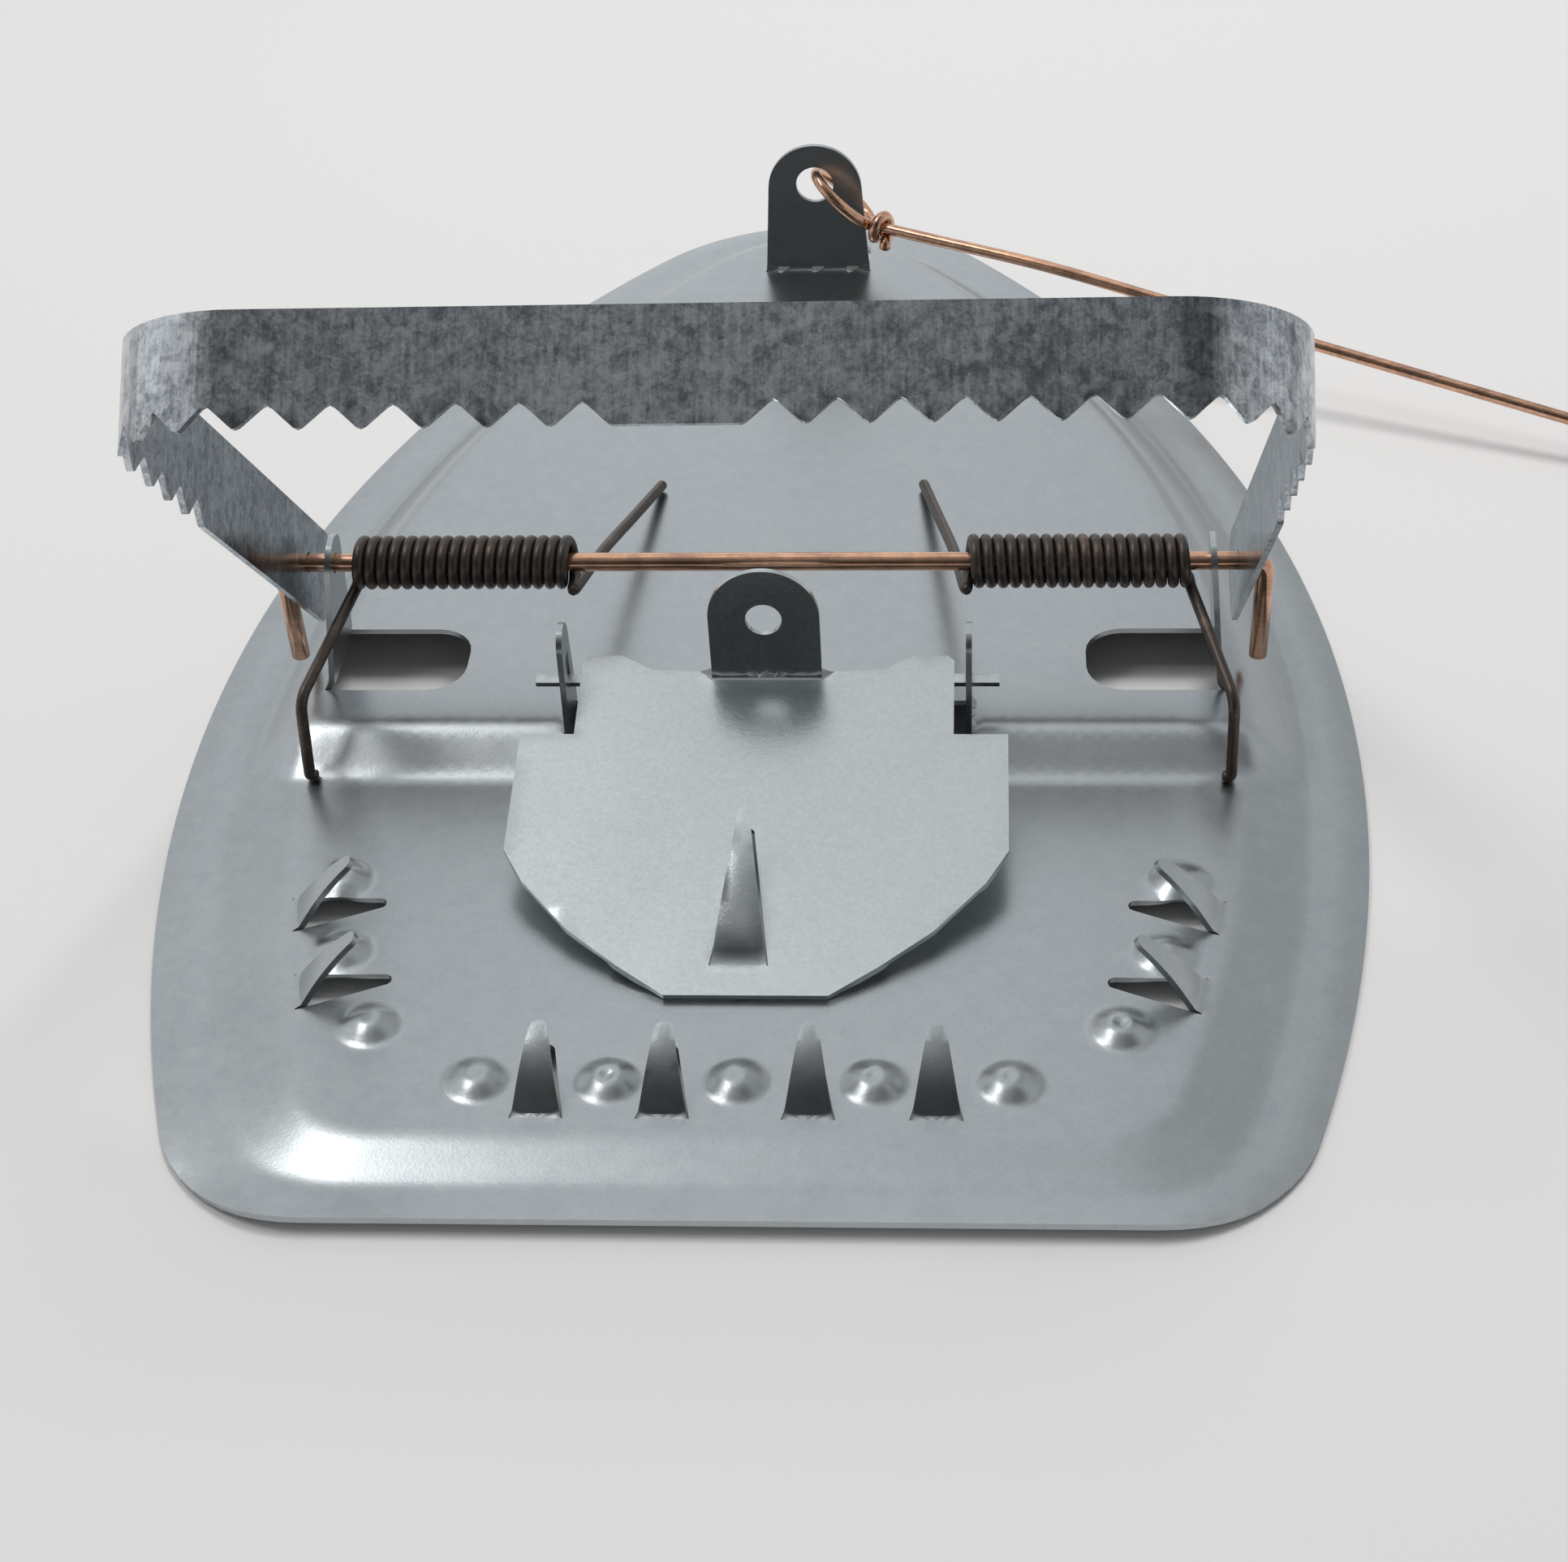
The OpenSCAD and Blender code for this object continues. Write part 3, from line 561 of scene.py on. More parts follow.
class BasePlate:
    """The pressed base: its height, its openings and the tongues folded out of it."""

    def __init__(self, plan, sheet):
        spike_inset, bumps_ahead = 1.8, 3.8
        self.p, self.sheet = plan, sheet
        self.rim = plan.shield_at(0, 0, plan.corner, 1.1)
        self.foot, self.top = plan.shield(0, 1.0), plan.shield(1, 1.0)
        self.spike_y = plan.front_y + plan.rim_front + plan.slope + spike_inset
        self.bumps = [(x, self.spike_y + bumps_ahead) for x in FRONT_BUMPS]
        self.bumps += [(x, y) for _, x, y in self.at_sides(SIDE_BUMPS)]

    def at_sides(self, rows):
        """Places in rows on the left and then on the right: the side, x and y."""
        for side in SIDES:
            for row, inset in rows:
                y = self.spike_y + row
                yield side, side * (self.p.panel_x(y) - inset), y

    def height(self, xy):
        """Height of the base's upper face."""
        crown, crown_run, lift, lift_run, trim = 0.22, 2.6, 0.9, 5, 0.2
        p, xy = self.p, np.asarray(xy, float)
        foot, top = depth_inside(xy, self.foot), depth_inside(xy, self.top)
        edge = np.clip(depth_inside(xy, self.rim) / crown_run, 0, 1)
        rim = p.t + crown * (1 - (1 - edge) ** 2)
        rim = rim + lift * np.clip(1 - (xy[:, 1] - p.front_y) / lift_run, 0, 1) ** 2
        back = soft_ramp((xy[:, 1] - p.step_y - trim) / (p.step_run - 2 * trim), STEP_SOFT)
        panel = p.front_z + (p.rear_z - p.front_z) * back
        z = rim + soft_ramp(foot / np.maximum(foot - top, 0.5), SLOPE_SOFT) * (panel - rim)
        for i, (x, y) in enumerate(self.bumps):
            away = np.hypot(xy[:, 0] - x, xy[:, 1] - y)
            z += self.sheet.bump_height / MM * (1 - np.minimum(away / BUMP_RADIUS, 1) ** 2) ** 1.5
            z -= DIMPLES[i % len(DIMPLES)] * np.exp(-(away / DIMPLE_RADIUS) ** 2)
        return z

    def spikes(self):
        """The spikes. Those at the front curl over more than those at the sides."""
        run, lean = self.sheet.spike_length / MM, degrees(self.sheet.spike_lean)
        right, opening = (tongue_side(SPIKE_WIDTH + 2 * gap, run - r, r, parts)
                          for gap, r, parts in ((0, 0.7, 8), (CUT, 0.6, 6)))
        front, beside = (Fold((SPIKE_FOOT, lean + more), (run - SPIKE_FOOT, -curl))
                         for more, curl in ((21, 48), (14, 20)))
        places = [((x, self.spike_y), 90, front) for x in FRONT_SPIKES]
        for side, x, y in self.at_sides(SIDE_SPIKES):
            places.append(((x, y), 90 + side * SIDE_SPIKE_TURN, beside))
        return [Tongue(right, opening, SPIKE_WIDTH, *where, [], 0.6) for where in places]

    def tall_ear(self, side):
        """An ear that holds the axle and leans in over its slot."""
        p, up, slot_end, hole_play = self.p, 90 - self.p.ear_lean, 27.5, 0.1
        top, root = developed(p.axle_rise, p.bend, up), p.ear_x + p.ear_drift + p.t / 2 + p.bend
        slot = slot_side(root_w=8.8, w=9.0, run=root - slot_end, r=3.4)
        return Tongue(tongue_side(w=8.8, h=top, r=2.5), slot, 8.8, (side * root, p.axle_y), 90 + side * 90,
                      Fold((p.bend * radians(up), up)), [circle(0, top, p.axle_r + hole_play)], 1.0)

    def short_ear(self, side):
        """An ear of the bait plate, with the slot that its wing lies in."""
        p, half = self.p, 0.7
        low, high, top = (developed(h, p.bend) for h in (3.85, 7.05, 8.2))
        hole = [(-half, low), (half, low), (half, high), (-half, high)]
        slot = slot_side(root_w=5.2, w=5.4, run=10.5, r=1.8)
        place = (side * (p.short_ear_x + p.t / 2 + p.bend), p.bait_y)
        return Tongue(tongue_side(w=5.2, h=top, r=1.8), slot, 5.2, place, 90 + side * 90,
                      Fold((p.bend * pi / 2, 90)), [hole], 0.9)

    def rear_tab(self):
        """The tab whose hole holds the trip rod's eye."""
        p, tab_h, hole_r = self.p, 9.55, 2.0
        hole = circle(0, developed(p.tab_hole_rise, p.bend), hole_r, 28)
        slot = slot_side(root_w=11.4, w=11.2, run=13.9, r=3.0)
        return Tongue(tongue_side(w=11.3, h=developed(tab_h, p.bend), r=5.0), slot, 11.4,
                      (p.tab_x, p.tab_y - p.t - p.bend), 90, Fold((p.bend * pi / 2, 90)), [hole], 1.1)

    def panel_points(self):
        """Mesh points of the panel: along the rim and the slope, over both panels and round the bumps."""
        p, s, points = self.p, SLOPE_SOFT, []
        for inset, front, less, step in ((0.9, 0.6, 0.7, 1.3), (1.8, 1.2, 1.3, 1.4), (2.9, 1.8, 2.0, 1.6)):
            points += p.shield_at(inset, front, p.corner - less, step)
        for t in (-s, -s / 2, 0, s / 2, s, 0.42, 0.58, 1 - s, 1 - s / 2, 1, 1 + s / 2, 1 + s):
            points += p.shield(t, 1.15)
        inner = p.shield(1 + s + 0.2, 2.0)
        low, high = p.step_y - 2.4, p.step_y + p.step_run + 2.4
        for rows in ((2, low - 1, 1.6, 1.4), (low, high, 1.6, 0.5), (high + 1, 148, 1.8, 1.6)):
            near = np.asarray(clear_of(staggered(-50, 50, *rows), inner, [], 0.2))
            away = np.min([np.hypot(near[:, 0] - x, near[:, 1] - y) for x, y in self.bumps], axis=0)
            points += [tuple(q) for q in near[away > BUMP_RADIUS + 1]]
        for x, y in self.bumps:
            points.append((x, y))
            for k, r in enumerate(BUMP_RINGS):
                count = 10 + 2 * k
                start = 180 / count * (k % 2)
                points += arc(x, y, r, start, 360 - 360 / count + start, count - 1)
        return points

    def tongue_part(self, t):
        """A tongue's mesh, folded up from the panel."""
        outline = whole(spaced(t.side, t.step, closed=False))
        width, reach = t.side[0][0], max(q[1] for q in outline)
        curled = t.fold.along[-1] > 2
        bend = SPIKE_FOOT if curled else t.fold.along[-1]
        rows = [*np.linspace(0, bend, 7)[1:], *np.arange(bend + t.step, reach, t.step)]
        across = np.linspace(-width, width, max(3, int(2 * width / t.step)))
        inside = clear_of([(u, v) for v in rows for u in across], outline, t.holes, 0.2)
        uv, faces = blank(outline, t.holes, inside)
        out, up = t.fold(uv[:, 1])
        if curled:
            up = up - 0.05 * uv[:, 0] ** 2 * np.clip(uv[:, 1] / 1.5, 0, 1)
        way = (cos(radians(t.toward)), sin(radians(t.toward)), 0)
        return set_out(uv[:, 0], out, up, (*t.place, float(self.height([t.place])[0])), way), faces

    def parts(self):
        """The panel and its tongues, as parts that share their root points."""
        ears = [ear(side) for side in SIDES for ear in (self.tall_ear, self.short_ear)]
        tongues = [*self.spikes(), *ears, self.rear_tab()]
        holes = [turned(lanced_hole(t.opening, t.root_w), *t.place, t.toward) for t in tongues]
        xy, faces = blank(self.rim, holes, clear_of(self.panel_points(), self.rim, holes, 0.35))
        panel = (np.column_stack([xy, self.height(xy)]), faces)
        return [panel] + [self.tongue_part(t) for t in tongues]


# Jaw


def tooth_marks(plan, pitch):
    """Distances from the bar's middle to the notches between the teeth."""
    first_right, first_left, toothed = 4.8, 7.6, 0.4
    bar = plan.jaw_half - plan.jaw_corner
    end = bar + plan.jaw_corner * pi / 2 + toothed * (plan.jaw_reach - plan.jaw_corner)
    left, right = np.arange(first_left, end, pitch), np.arange(first_right, end, pitch)
    return [-m for m in reversed(left)] + list(right)


def jaw_blank(plan, sheet):
    """The jaw's strip laid flat: u across it, with the teeth at +u, and v along it from its middle."""
    pitch, depth = sheet.tooth_pitch / MM, sheet.tooth_depth / MM
    bar = plan.jaw_half - plan.jaw_corner
    run = bar + plan.jaw_corner * pi / 2 + plan.jaw_reach - plan.jaw_corner + plan.jaw_tail
    half, cut, tip_half = plan.jaw_width / 2, 1.7, 0.12
    w = pitch / 2 - tip_half
    right = [(0.3, depth - 0.16), (w - 0.2, 0.14), (w + 0.1, 0)]
    notch = [(-v, u) for v, u in reversed(right)] + [(0, depth)] + right
    edge = [(half, -run + cut)]
    edge += [(half - u, m + v) for m in tooth_marks(plan, pitch) for v, u in notch]
    edge += [(half, run - cut), (half - cut, run), (-half + cut, run), (-half, run - cut),
             (-half, -run + cut), (-half + cut, -run), (half - cut, -run)]
    return spaced(edge, 1.3), run


def jaw_parts(plan, sheet):
    """The toothed strip folded round into a U and turned up about the axle."""
    outline, run = jaw_blank(plan, sheet)
    twist, hole_play = 0.3, 0.12
    axle = [circle(0, side * (run - plan.jaw_tail), plan.axle_r + hole_play) for side in SIDES]
    arm = plan.jaw_reach - plan.jaw_corner + plan.jaw_tail
    turn_run = plan.jaw_corner * pi / 2
    bend = np.linspace(0, turn_run, 15)
    rows = [*np.linspace(-run, run, 150), *(run - arm - bend), *(-run + arm + bend)]
    points = [(u, v) for v in rows for u in np.linspace(-3.2, 2.0, 6)]
    uv, faces = blank(outline, axle, clear_of(points, outline, axle, 0.3))
    bar = 2 * (plan.jaw_half - plan.jaw_corner)
    fold = Fold((arm, 0), (turn_run, 90), (bar, 0), (turn_run, 90), (arm, 0), step=0.25)
    out, up = fold(uv[:, 1] + run)
    x, y = up - plan.jaw_half, plan.jaw_tail - out
    sprung = twist * x / plan.jaw_half * np.maximum(-y, 0) / plan.jaw_reach
    points = np.column_stack([x, y, sprung - uv[:, 0]])
    return [(tipped(points, -sheet.jaw_angle, (0, plan.axle_y, plan.axle_z)), faces)]


# Bait plate


PAN_HALF, PAN_BEND, CATCH_HALF = 20.5, 0.45, 4.7
CATCH_ROOT = 0.2 - PAN_BEND
HOOK_X, HOOK_ROOT, HOOK_RUN = -0.7, -29.8, 13.5


def pan_outline(plan, catch_run):
    """Outline of the bait plate's blank, with its wings and its catch tab laid flat."""
    half, run, tab, notch, rear, wing = PAN_HALF, plan.bait_length, CATCH_HALF, -6.2, 2.6, 0.5
    neck, wing_x = plan.short_ear_x - plan.t / 2 - 1.0, plan.short_ear_x + 2.6
    right = [(half * 0.314, -run), (half * 0.504, -run * 0.915), (half * 0.71, -run * 0.81),
             (half * 0.91, -run * 0.665), (half, -run * 0.565), (half, notch), (neck, notch),
             (neck, -wing), (wing_x, -wing), (wing_x, wing), (neck, wing), (neck, 2.0),
             (neck - 0.6, rear), (neck - 3.3, rear), (neck - 6.0, 1.0), (tab, 0.7),
             (tab, CATCH_ROOT), (tab, CATCH_ROOT + 0.4)]
    right += arc(0, catch_run - tab, tab, 0, 90, 12)
    return spaced(right + mirrored(right)[1:], 1.2)


def hook_side():
    """Right side of the hook, which narrows to a blunt point."""
    half_w, taper, run = 2.2, 0.84, HOOK_RUN
    side = [(half_w * (1 - taper * s / run) + 0.02, s) for s in np.linspace(0, run - 0.35, 9)]
    return side + [(0.2, run - 0.1), (0.0, run)]


def pan_part(plan):
    """The plate in its own plane, with its catch tab folded up and the hook's opening cut out."""
    catch_rise, catch_tip, hole_rise, hole_r = 10.6, 0.1, 5.9, 1.55
    root, up, side = CATCH_ROOT, 90 - degrees(plan.bait_tilt), hook_side()
    catch_run = root + developed(catch_rise + catch_tip, PAN_BEND, up)
    opening = [(u + CUT, v * (1 + CUT / HOOK_RUN)) for u, v in side[:-1]] + [(0.0, HOOK_RUN + CUT)]
    holes = [turned(lanced_hole(opening, 2 * side[0][0]), HOOK_X, HOOK_ROOT, 90),
             circle(0, root + developed(hole_rise, PAN_BEND, up), hole_r, 22)]
    fold = Fold((PAN_BEND * radians(up), up))
    rows = [*np.linspace(-32, root, 24), *(root + np.linspace(0, fold.along[-1], 6))]
    points = [(u, v) for v in rows for u in np.linspace(-PAN_HALF, PAN_HALF, 30)]
    points += staggered(-4.4, 4.4, root + 1, catch_run, 1.1, 1.0)
    outline = pan_outline(plan, catch_run)
    uv, faces = blank(outline, holes, clear_of(points, outline, holes, 0.25))
    folded = (np.abs(uv[:, 0]) < CATCH_HALF + 0.01) & (uv[:, 1] > root)
    out, rise = fold(np.where(folded, uv[:, 1] - root, 0))
    y = np.where(folded, root + out, uv[:, 1])
    return np.column_stack([uv[:, 0], y, np.where(folded, rise, 0) + plan.t / 2]), faces


def hook_part(plan):
    """The hook, bent up from its root and hollowed along its length."""
    outline = whole(spaced(hook_side(), 0.9, closed=False))
    rows = np.linspace(0.1, HOOK_RUN - 0.5, 24)
    points = [(u, v) for v in rows for u in (-1.5, -0.75, 0, 0.75, 1.5)]
    uv, faces = blank(outline, [], clear_of(points, outline, [], 0.15))
    out, rise = Fold((0.7, 42), (2.6, -22), (HOOK_RUN - 3.3, -12))(uv[:, 1])
    rise = rise - 0.07 * uv[:, 0] ** 2 * np.clip(uv[:, 1] / 2.5, 0, 1)
    return set_out(uv[:, 0], out, rise, (HOOK_X, HOOK_ROOT, plan.t / 2), (0, 1, 0)), faces


# Wires


def axle_route(plan):
    """The axle, with both ends bent down outside the jaw."""
    beyond_jaw, end_drop, bend_r = 1.1, 10.2, 1.3
    end = plan.jaw_half + beyond_jaw + plan.axle_r
    y, z = plan.axle_y, plan.axle_z
    low = z - end_drop
    route = rounded_route([(-end, y, low), (-end, y, z), (end, y, z), (end, y, low)], (bend_r, bend_r))
    middle = [np.array((x, y, z)) for x in np.linspace(-end + 3, end - 3, 60)]
    return route[:14] + middle + route[14:]


def spring_route(plan, sizes, side):
    """One spring: a leg with a kink, the coil, and a leg that bears on the rear panel."""
    coil_gap, coil_length, points_a_turn = 2.2, 18.8, 28
    r, turns = sizes.coil / MM, sizes.turns
    wire_r = sizes.spring / MM / 2
    y, z = plan.axle_y, plan.axle_z
    outer, inner = plan.ear_x - coil_gap, plan.ear_x - coil_gap - coil_length
    leg_x = plan.jaw_half - 1.3
    kink = np.array((leg_x, y - 12.5, z - 5.4))
    tip = np.array((leg_x, y - 14.1, plan.front_z + 0.1 + 0.45))
    inner_tip = np.array((inner - 4.4, y + 27.3, plan.rear_z + wire_r + 0.05))
    out_fall = degrees(atan2(z - r - kink[2], y - kink[1]))
    in_fall = degrees(atan2(z - r - inner_tip[2], inner_tip[1] - y))
    start, end = out_fall - 90, -360 * turns - 90 - in_fall
    count = turns * points_a_turn
    coil = []
    for i in range(count + 1):
        t = i / count
        a = radians(start + (end - start) * t)
        coil.append(np.array((outer + (inner - outer) * t, y + r * cos(a), z + r * sin(a))))
    first, last = coil[0], coil[-1]
    to_kink, to_tip = kink - first, inner_tip - last
    leg_in = smooth_route([last, last + (last - coil[-2]) * 4 + to_tip * 0.02,
                           last + to_tip * 0.3, last + to_tip * 0.65, inner_tip], 10)[3:]
    foot = tip + np.array((-0.75, 0.1, 0.05))
    leg_out = rounded_route([foot, tip + np.array((0, 0, 0.1)), kink, first + to_kink * 0.1], (0.3, 2.2), 8)
    leg_out += smooth_route([first + to_kink * 0.1, first + (first - coil[1]) * 2], 4)[:-1]
    return [np.array((side * q[0], q[1], q[2])) for q in leg_out + coil + leg_in]


def rod_route(plan):
    """The trip rod: a short twist, an eye through the rear tab's hole, and the long straight rod."""
    long_half, wide_half, tilt, r = 4.1, 3.4, radians(45), 0.6
    along = np.array((cos(tilt), 0, -sin(tilt)))
    back = np.array((0, 0.98, -0.2))
    tab_y = plan.tab_y - plan.t / 2
    centre = np.array((3.444, tab_y, plan.tab_hole_z + 1.1 - long_half * sin(tilt)))

    def eye(angle):
        return centre + long_half * cos(angle) * along + wide_half * sin(angle) * back

    closing = radians(-20)
    joint = eye(closing)
    heading, fall = radians(22.7), radians(5.7)
    line = np.array((6.62, tab_y - 1.47, plan.tab_hole_z - 3.08))
    run = np.array((cos(fall) * cos(heading), -cos(fall) * sin(heading), -sin(fall)))
    straight = [line + run * s for s in (20, 35, 50, 65, 75, 82.9)]
    way = unit(straight[0] - joint)
    across = unit(np.cross(way, (0, 0, 1)))
    over = np.cross(across, way)
    turns, pitch, start = 1.3, 1.3, 0.5
    wrap = []
    for i in range(23):
        t = i / 22
        a = 2 * pi * turns * (1 - t) + radians(200)
        out = start + pitch * turns * (1 - t)
        wrap.append(joint + way * out + 2.02 * r * (cos(a) * across + sin(a) * over))
    ring = [eye(closing - radians(26) - radians(308) * i / 30) for i in range(31)]
    stub = [wrap[0] + np.array((-0.1, -0.2, -1.0)), wrap[0] + np.array((0.0, -0.1, -0.45))]
    near = [joint + way * s for s in (0.7, 2.0, 4.0, 8.0)]
    return smooth_route(stub + wrap[1::2] + ring[::2] + near + straight, 5)


# Finishes


def maths(operation, swapped=False):
    """A method of Value that adds a Math node."""
    def method(self, other):
        ends = (other, self) if swapped else (self, other)
        return self.finish.node("ShaderNodeMath", {"operation": operation}, dict(enumerate(ends)))

    return method


class Value:
    """A node's output that does arithmetic by adding Math nodes."""

    __add__ = __radd__ = maths("ADD")
    __sub__, __rsub__ = maths("SUBTRACT"), maths("SUBTRACT", swapped=True)
    __mul__ = __rmul__ = maths("MULTIPLY")
    __pow__, at_least = maths("POWER"), maths("MAXIMUM")

    def __init__(self, finish, socket):
        self.finish = finish
        self.socket = socket

    def between(self, low, high):
        """0 at low and before it, 1 at high and past it, smooth between."""
        return self.finish.node(
            "ShaderNodeMapRange", {"interpolation_type": "SMOOTHSTEP"},
            {"Value": self, "From Min": low, "From Max": high, "To Min": 0.0, "To Max": 1.0})


class Finish:
    """A node tree and the ways of adding to it."""

    def __init__(self, tree):
        self.tree = tree
        tree.nodes.clear()

    def node(self, kind, settings=None, inputs=None, output=0):
        """Adds a node: its settings first, then its sockets' values or links."""
        made = self.tree.nodes.new(kind)
        for key, value in (settings or {}).items():
            setattr(made, key, value)
        for key, value in (inputs or {}).items():
            socket = made.inputs[key]
            if isinstance(value, Value):
                self.tree.links.new(value.socket, socket)
            else:
                socket.default_value = (*value, 1.0) if socket.type == "RGBA" else value
        return Value(self, made.outputs[output])

    def output(self, kind, shader):
        """Adds the tree's output node."""
        made = self.tree.nodes.new(kind)
        self.tree.links.new(shader.socket, made.inputs["Surface"])

    def surface(self, **inputs):
        """The Principled shader and the material's output."""
        names = {key.replace("_", " ").title(): value for key, value in inputs.items()}
        self.output("ShaderNodeOutputMaterial", self.node("ShaderNodeBsdfPrincipled", {}, names))

    def mix(self, share, first, second):
        """Mixes two colours."""
        settings = {"data_type": "RGBA", "clamp_factor": True}
        return self.node("ShaderNodeMix", settings, {0: share, 6: first, 7: second}, 2)

    def place(self, scale=(1, 1, 1), turn_by=(0, 0, 0), kind="POINT"):
        """The piece's own coordinates, in metres, scaled and turned."""
        at = self.node("ShaderNodeTexCoord", output="Object")
        return self.node("ShaderNodeMapping", {"vector_type": kind},
                         {"Vector": at, "Rotation": turn_by, "Scale": scale})

    def noise(self, at, scale, detail, roughness, distortion=0.0):
        """Cloudy noise, its scale in cycles for each metre."""
        return self.node("ShaderNodeTexNoise", {}, {"Vector": at, "Scale": scale, "Detail": detail,
                                                    "Roughness": roughness, "Distortion": distortion})

    def crystals(self, at, scale):
        """A random grey for each crystal, with uneven borders; its scale in crystals for each metre."""
        cloud = {"Vector": at, "Scale": scale * 1.4, "Detail": 2.0}
        push = self.node("ShaderNodeTexNoise", {}, cloud, "Color")
        at = self.node("ShaderNodeVectorMath", {"operation": "MULTIPLY_ADD"},
                       {0: push, 1: (0.5 / scale,) * 3, 2: at})
        made = self.node("ShaderNodeTexVoronoi", {"feature": "F1"}, {"Vector": at, "Scale": scale}, "Color")
        return self.node("ShaderNodeSeparateColor", {}, {0: made})

    def bump(self, height, strength, distance):
        """A Normal from a height."""
        values = {"Height": height, "Strength": strength, "Distance": distance}
        return self.node("ShaderNodeBump", {}, values)


def new_finish(name):
    """An empty material and its tree."""
    material = bpy.data.materials.new(name)
    material.use_nodes = True
    return material, Finish(material.node_tree)


def galvanised(name, light, dark, crystal, rough, contrast, streaks=0.0, strip_angle=0.0):
    """Zinc-coated sheet: crystals, dull patches and fine grain, with rolling streaks across a strip."""
    material, f = new_finish(name)
    at = f.place()
    crystals = f.crystals(at, crystal)
    mottle = f.noise(at, crystal, detail=6.0, roughness=0.75, distortion=0.5)
    patches = f.noise(at, scale=60.0, detail=4.0, roughness=0.6)
    grain = f.noise(at, scale=3800.0, detail=2.0, roughness=0.6)
    across = f.place(scale=(1, 1, 9), turn_by=(-strip_angle, 0, 0), kind="TEXTURE")
    lines = f.noise(across, scale=2600.0, detail=3.0, roughness=0.65)
    shade = crystals * 0.08 + mottle * 0.62 + patches * 0.3
    shade = (shade - 0.5) * contrast + 0.5 + (grain - 0.5) * 0.55 + (lines - 0.5) * streaks
    tone = f.mix(shade.between(0.0, 1.0), dark, light)
    roughness = rough + (patches - 0.5) * 0.14 + (mottle - 0.5) * 0.1
    height = grain * 0.7 + mottle * 0.5 + lines * (0.4 * streaks)
    f.surface(base_color=tone, metallic=1.0, roughness=roughness, normal=f.bump(height, 0.25, 0.00004))
    return material


def coppered(name, light, dark):
    """Copper-washed wire: bright drawn lines and brown tarnish."""
    material, f = new_finish(name)
    at = f.place()
    tarnish = f.noise(at, scale=210.0, detail=5.0, roughness=0.7)
    grain = f.noise(at, scale=6500.0, detail=2.0, roughness=0.6)
    drawn = f.noise(f.place(scale=(0.05, 1, 1)), scale=5200.0, detail=3.0, roughness=0.5)
    shade = tarnish * 0.7 + drawn * 0.3
    tone = f.mix(shade.between(0.38, 0.6), dark, light)
    f.surface(base_color=tone, metallic=0.95, roughness=0.13 + tarnish * 0.14,
              normal=f.bump(drawn + grain * 0.5, 0.2, 0.00003))
    return material


def oiled_steel(name, tone):
    """Dark oiled spring wire with worn brown places."""
    material, f = new_finish(name)
    at = f.place()
    wear = f.noise(at, scale=330.0, detail=4.0, roughness=0.65)
    grain = f.noise(at, scale=5200.0, detail=3.0, roughness=0.6)
    brown = tuple(c * k for c, k in zip(tone, (3.0, 2.5, 2.1)))
    mixed = f.mix((wear * 0.75 + grain * 0.25).between(0.5, 0.75), tone, brown)
    f.surface(base_color=mixed, metallic=0.75, roughness=0.3 + wear * 0.16,
              normal=f.bump(grain, 0.25, 0.00004))
    return material


# Stage


def area_light(name, place, size, radiance, tint):
    """A soft lamp that faces the middle; its power follows from how bright its face is."""
    lamp = bpy.data.lights.new(name, "AREA")
    lamp.shape = "RECTANGLE"
    lamp.size, lamp.size_y = size
    lamp.energy = radiance * pi * size[0] * size[1]
    lamp.color = tint
    obj = bpy.data.objects.new(name, lamp)
    bpy.context.collection.objects.link(obj)
    away = Vector(place) - Vector((0, 0.06, 0))
    obj.matrix_world = Matrix.Translation(place) @ away.to_track_quat("Z", "Y").to_matrix().to_4x4()
    return obj


def room_light():
    """World: plain and pale to the camera; to metal, a dim room with a bright backdrop behind the trap."""
    world = bpy.data.worlds.new("room")
    bpy.context.scene.world = world
    world.use_nodes = True
    f = Finish(world.node_tree)
    way = f.node("ShaderNodeTexCoord", output="Generated")
    parts = f.node("ShaderNodeSeparateXYZ", {}, {0: way}).socket.node.outputs
    x, y, z = (Value(f, parts[i]) for i in range(3))
    behind = y.between(-0.03, 0.2)
    rear = 1.04 - z * 0.26 + (1 - y.between(0.25, 0.5)) * 0.25
    aside = (x * x).between(0.2, 0.55)
    front = (1 - aside) * (0.03 + z.at_least(0.0) ** 5 * 0.4) + aside * 0.85
    side = (1 - x.between(0.04, 0.2) * 0.4) * (1 - x.between(-0.2, -0.34) * 0.25)
    metal = ((1 - behind) * front + behind * rear) * side
    plain = 0.38 + behind * 0.22
    glossy = f.node("ShaderNodeLightPath", output="Is Glossy Ray")
    level = glossy * metal + (1 - glossy) * plain
    black = f.node("ShaderNodeBackground", {}, {"Strength": 0.0})
    full = f.node("ShaderNodeBackground", {}, {"Color": (0.97, 0.99, 1.0), "Strength": 1.0})
    lit = f.node("ShaderNodeMixShader", {}, {0: level, 1: black, 2: full})
    pale = f.node("ShaderNodeBackground", {}, {"Color": (0.66, 0.655, 0.65), "Strength": 1.0})
    seen = f.node("ShaderNodeLightPath", output="Is Camera Ray")
    f.output("ShaderNodeOutputWorld", f.node("ShaderNodeMixShader", {}, {0: seen, 1: lit, 2: pale}))


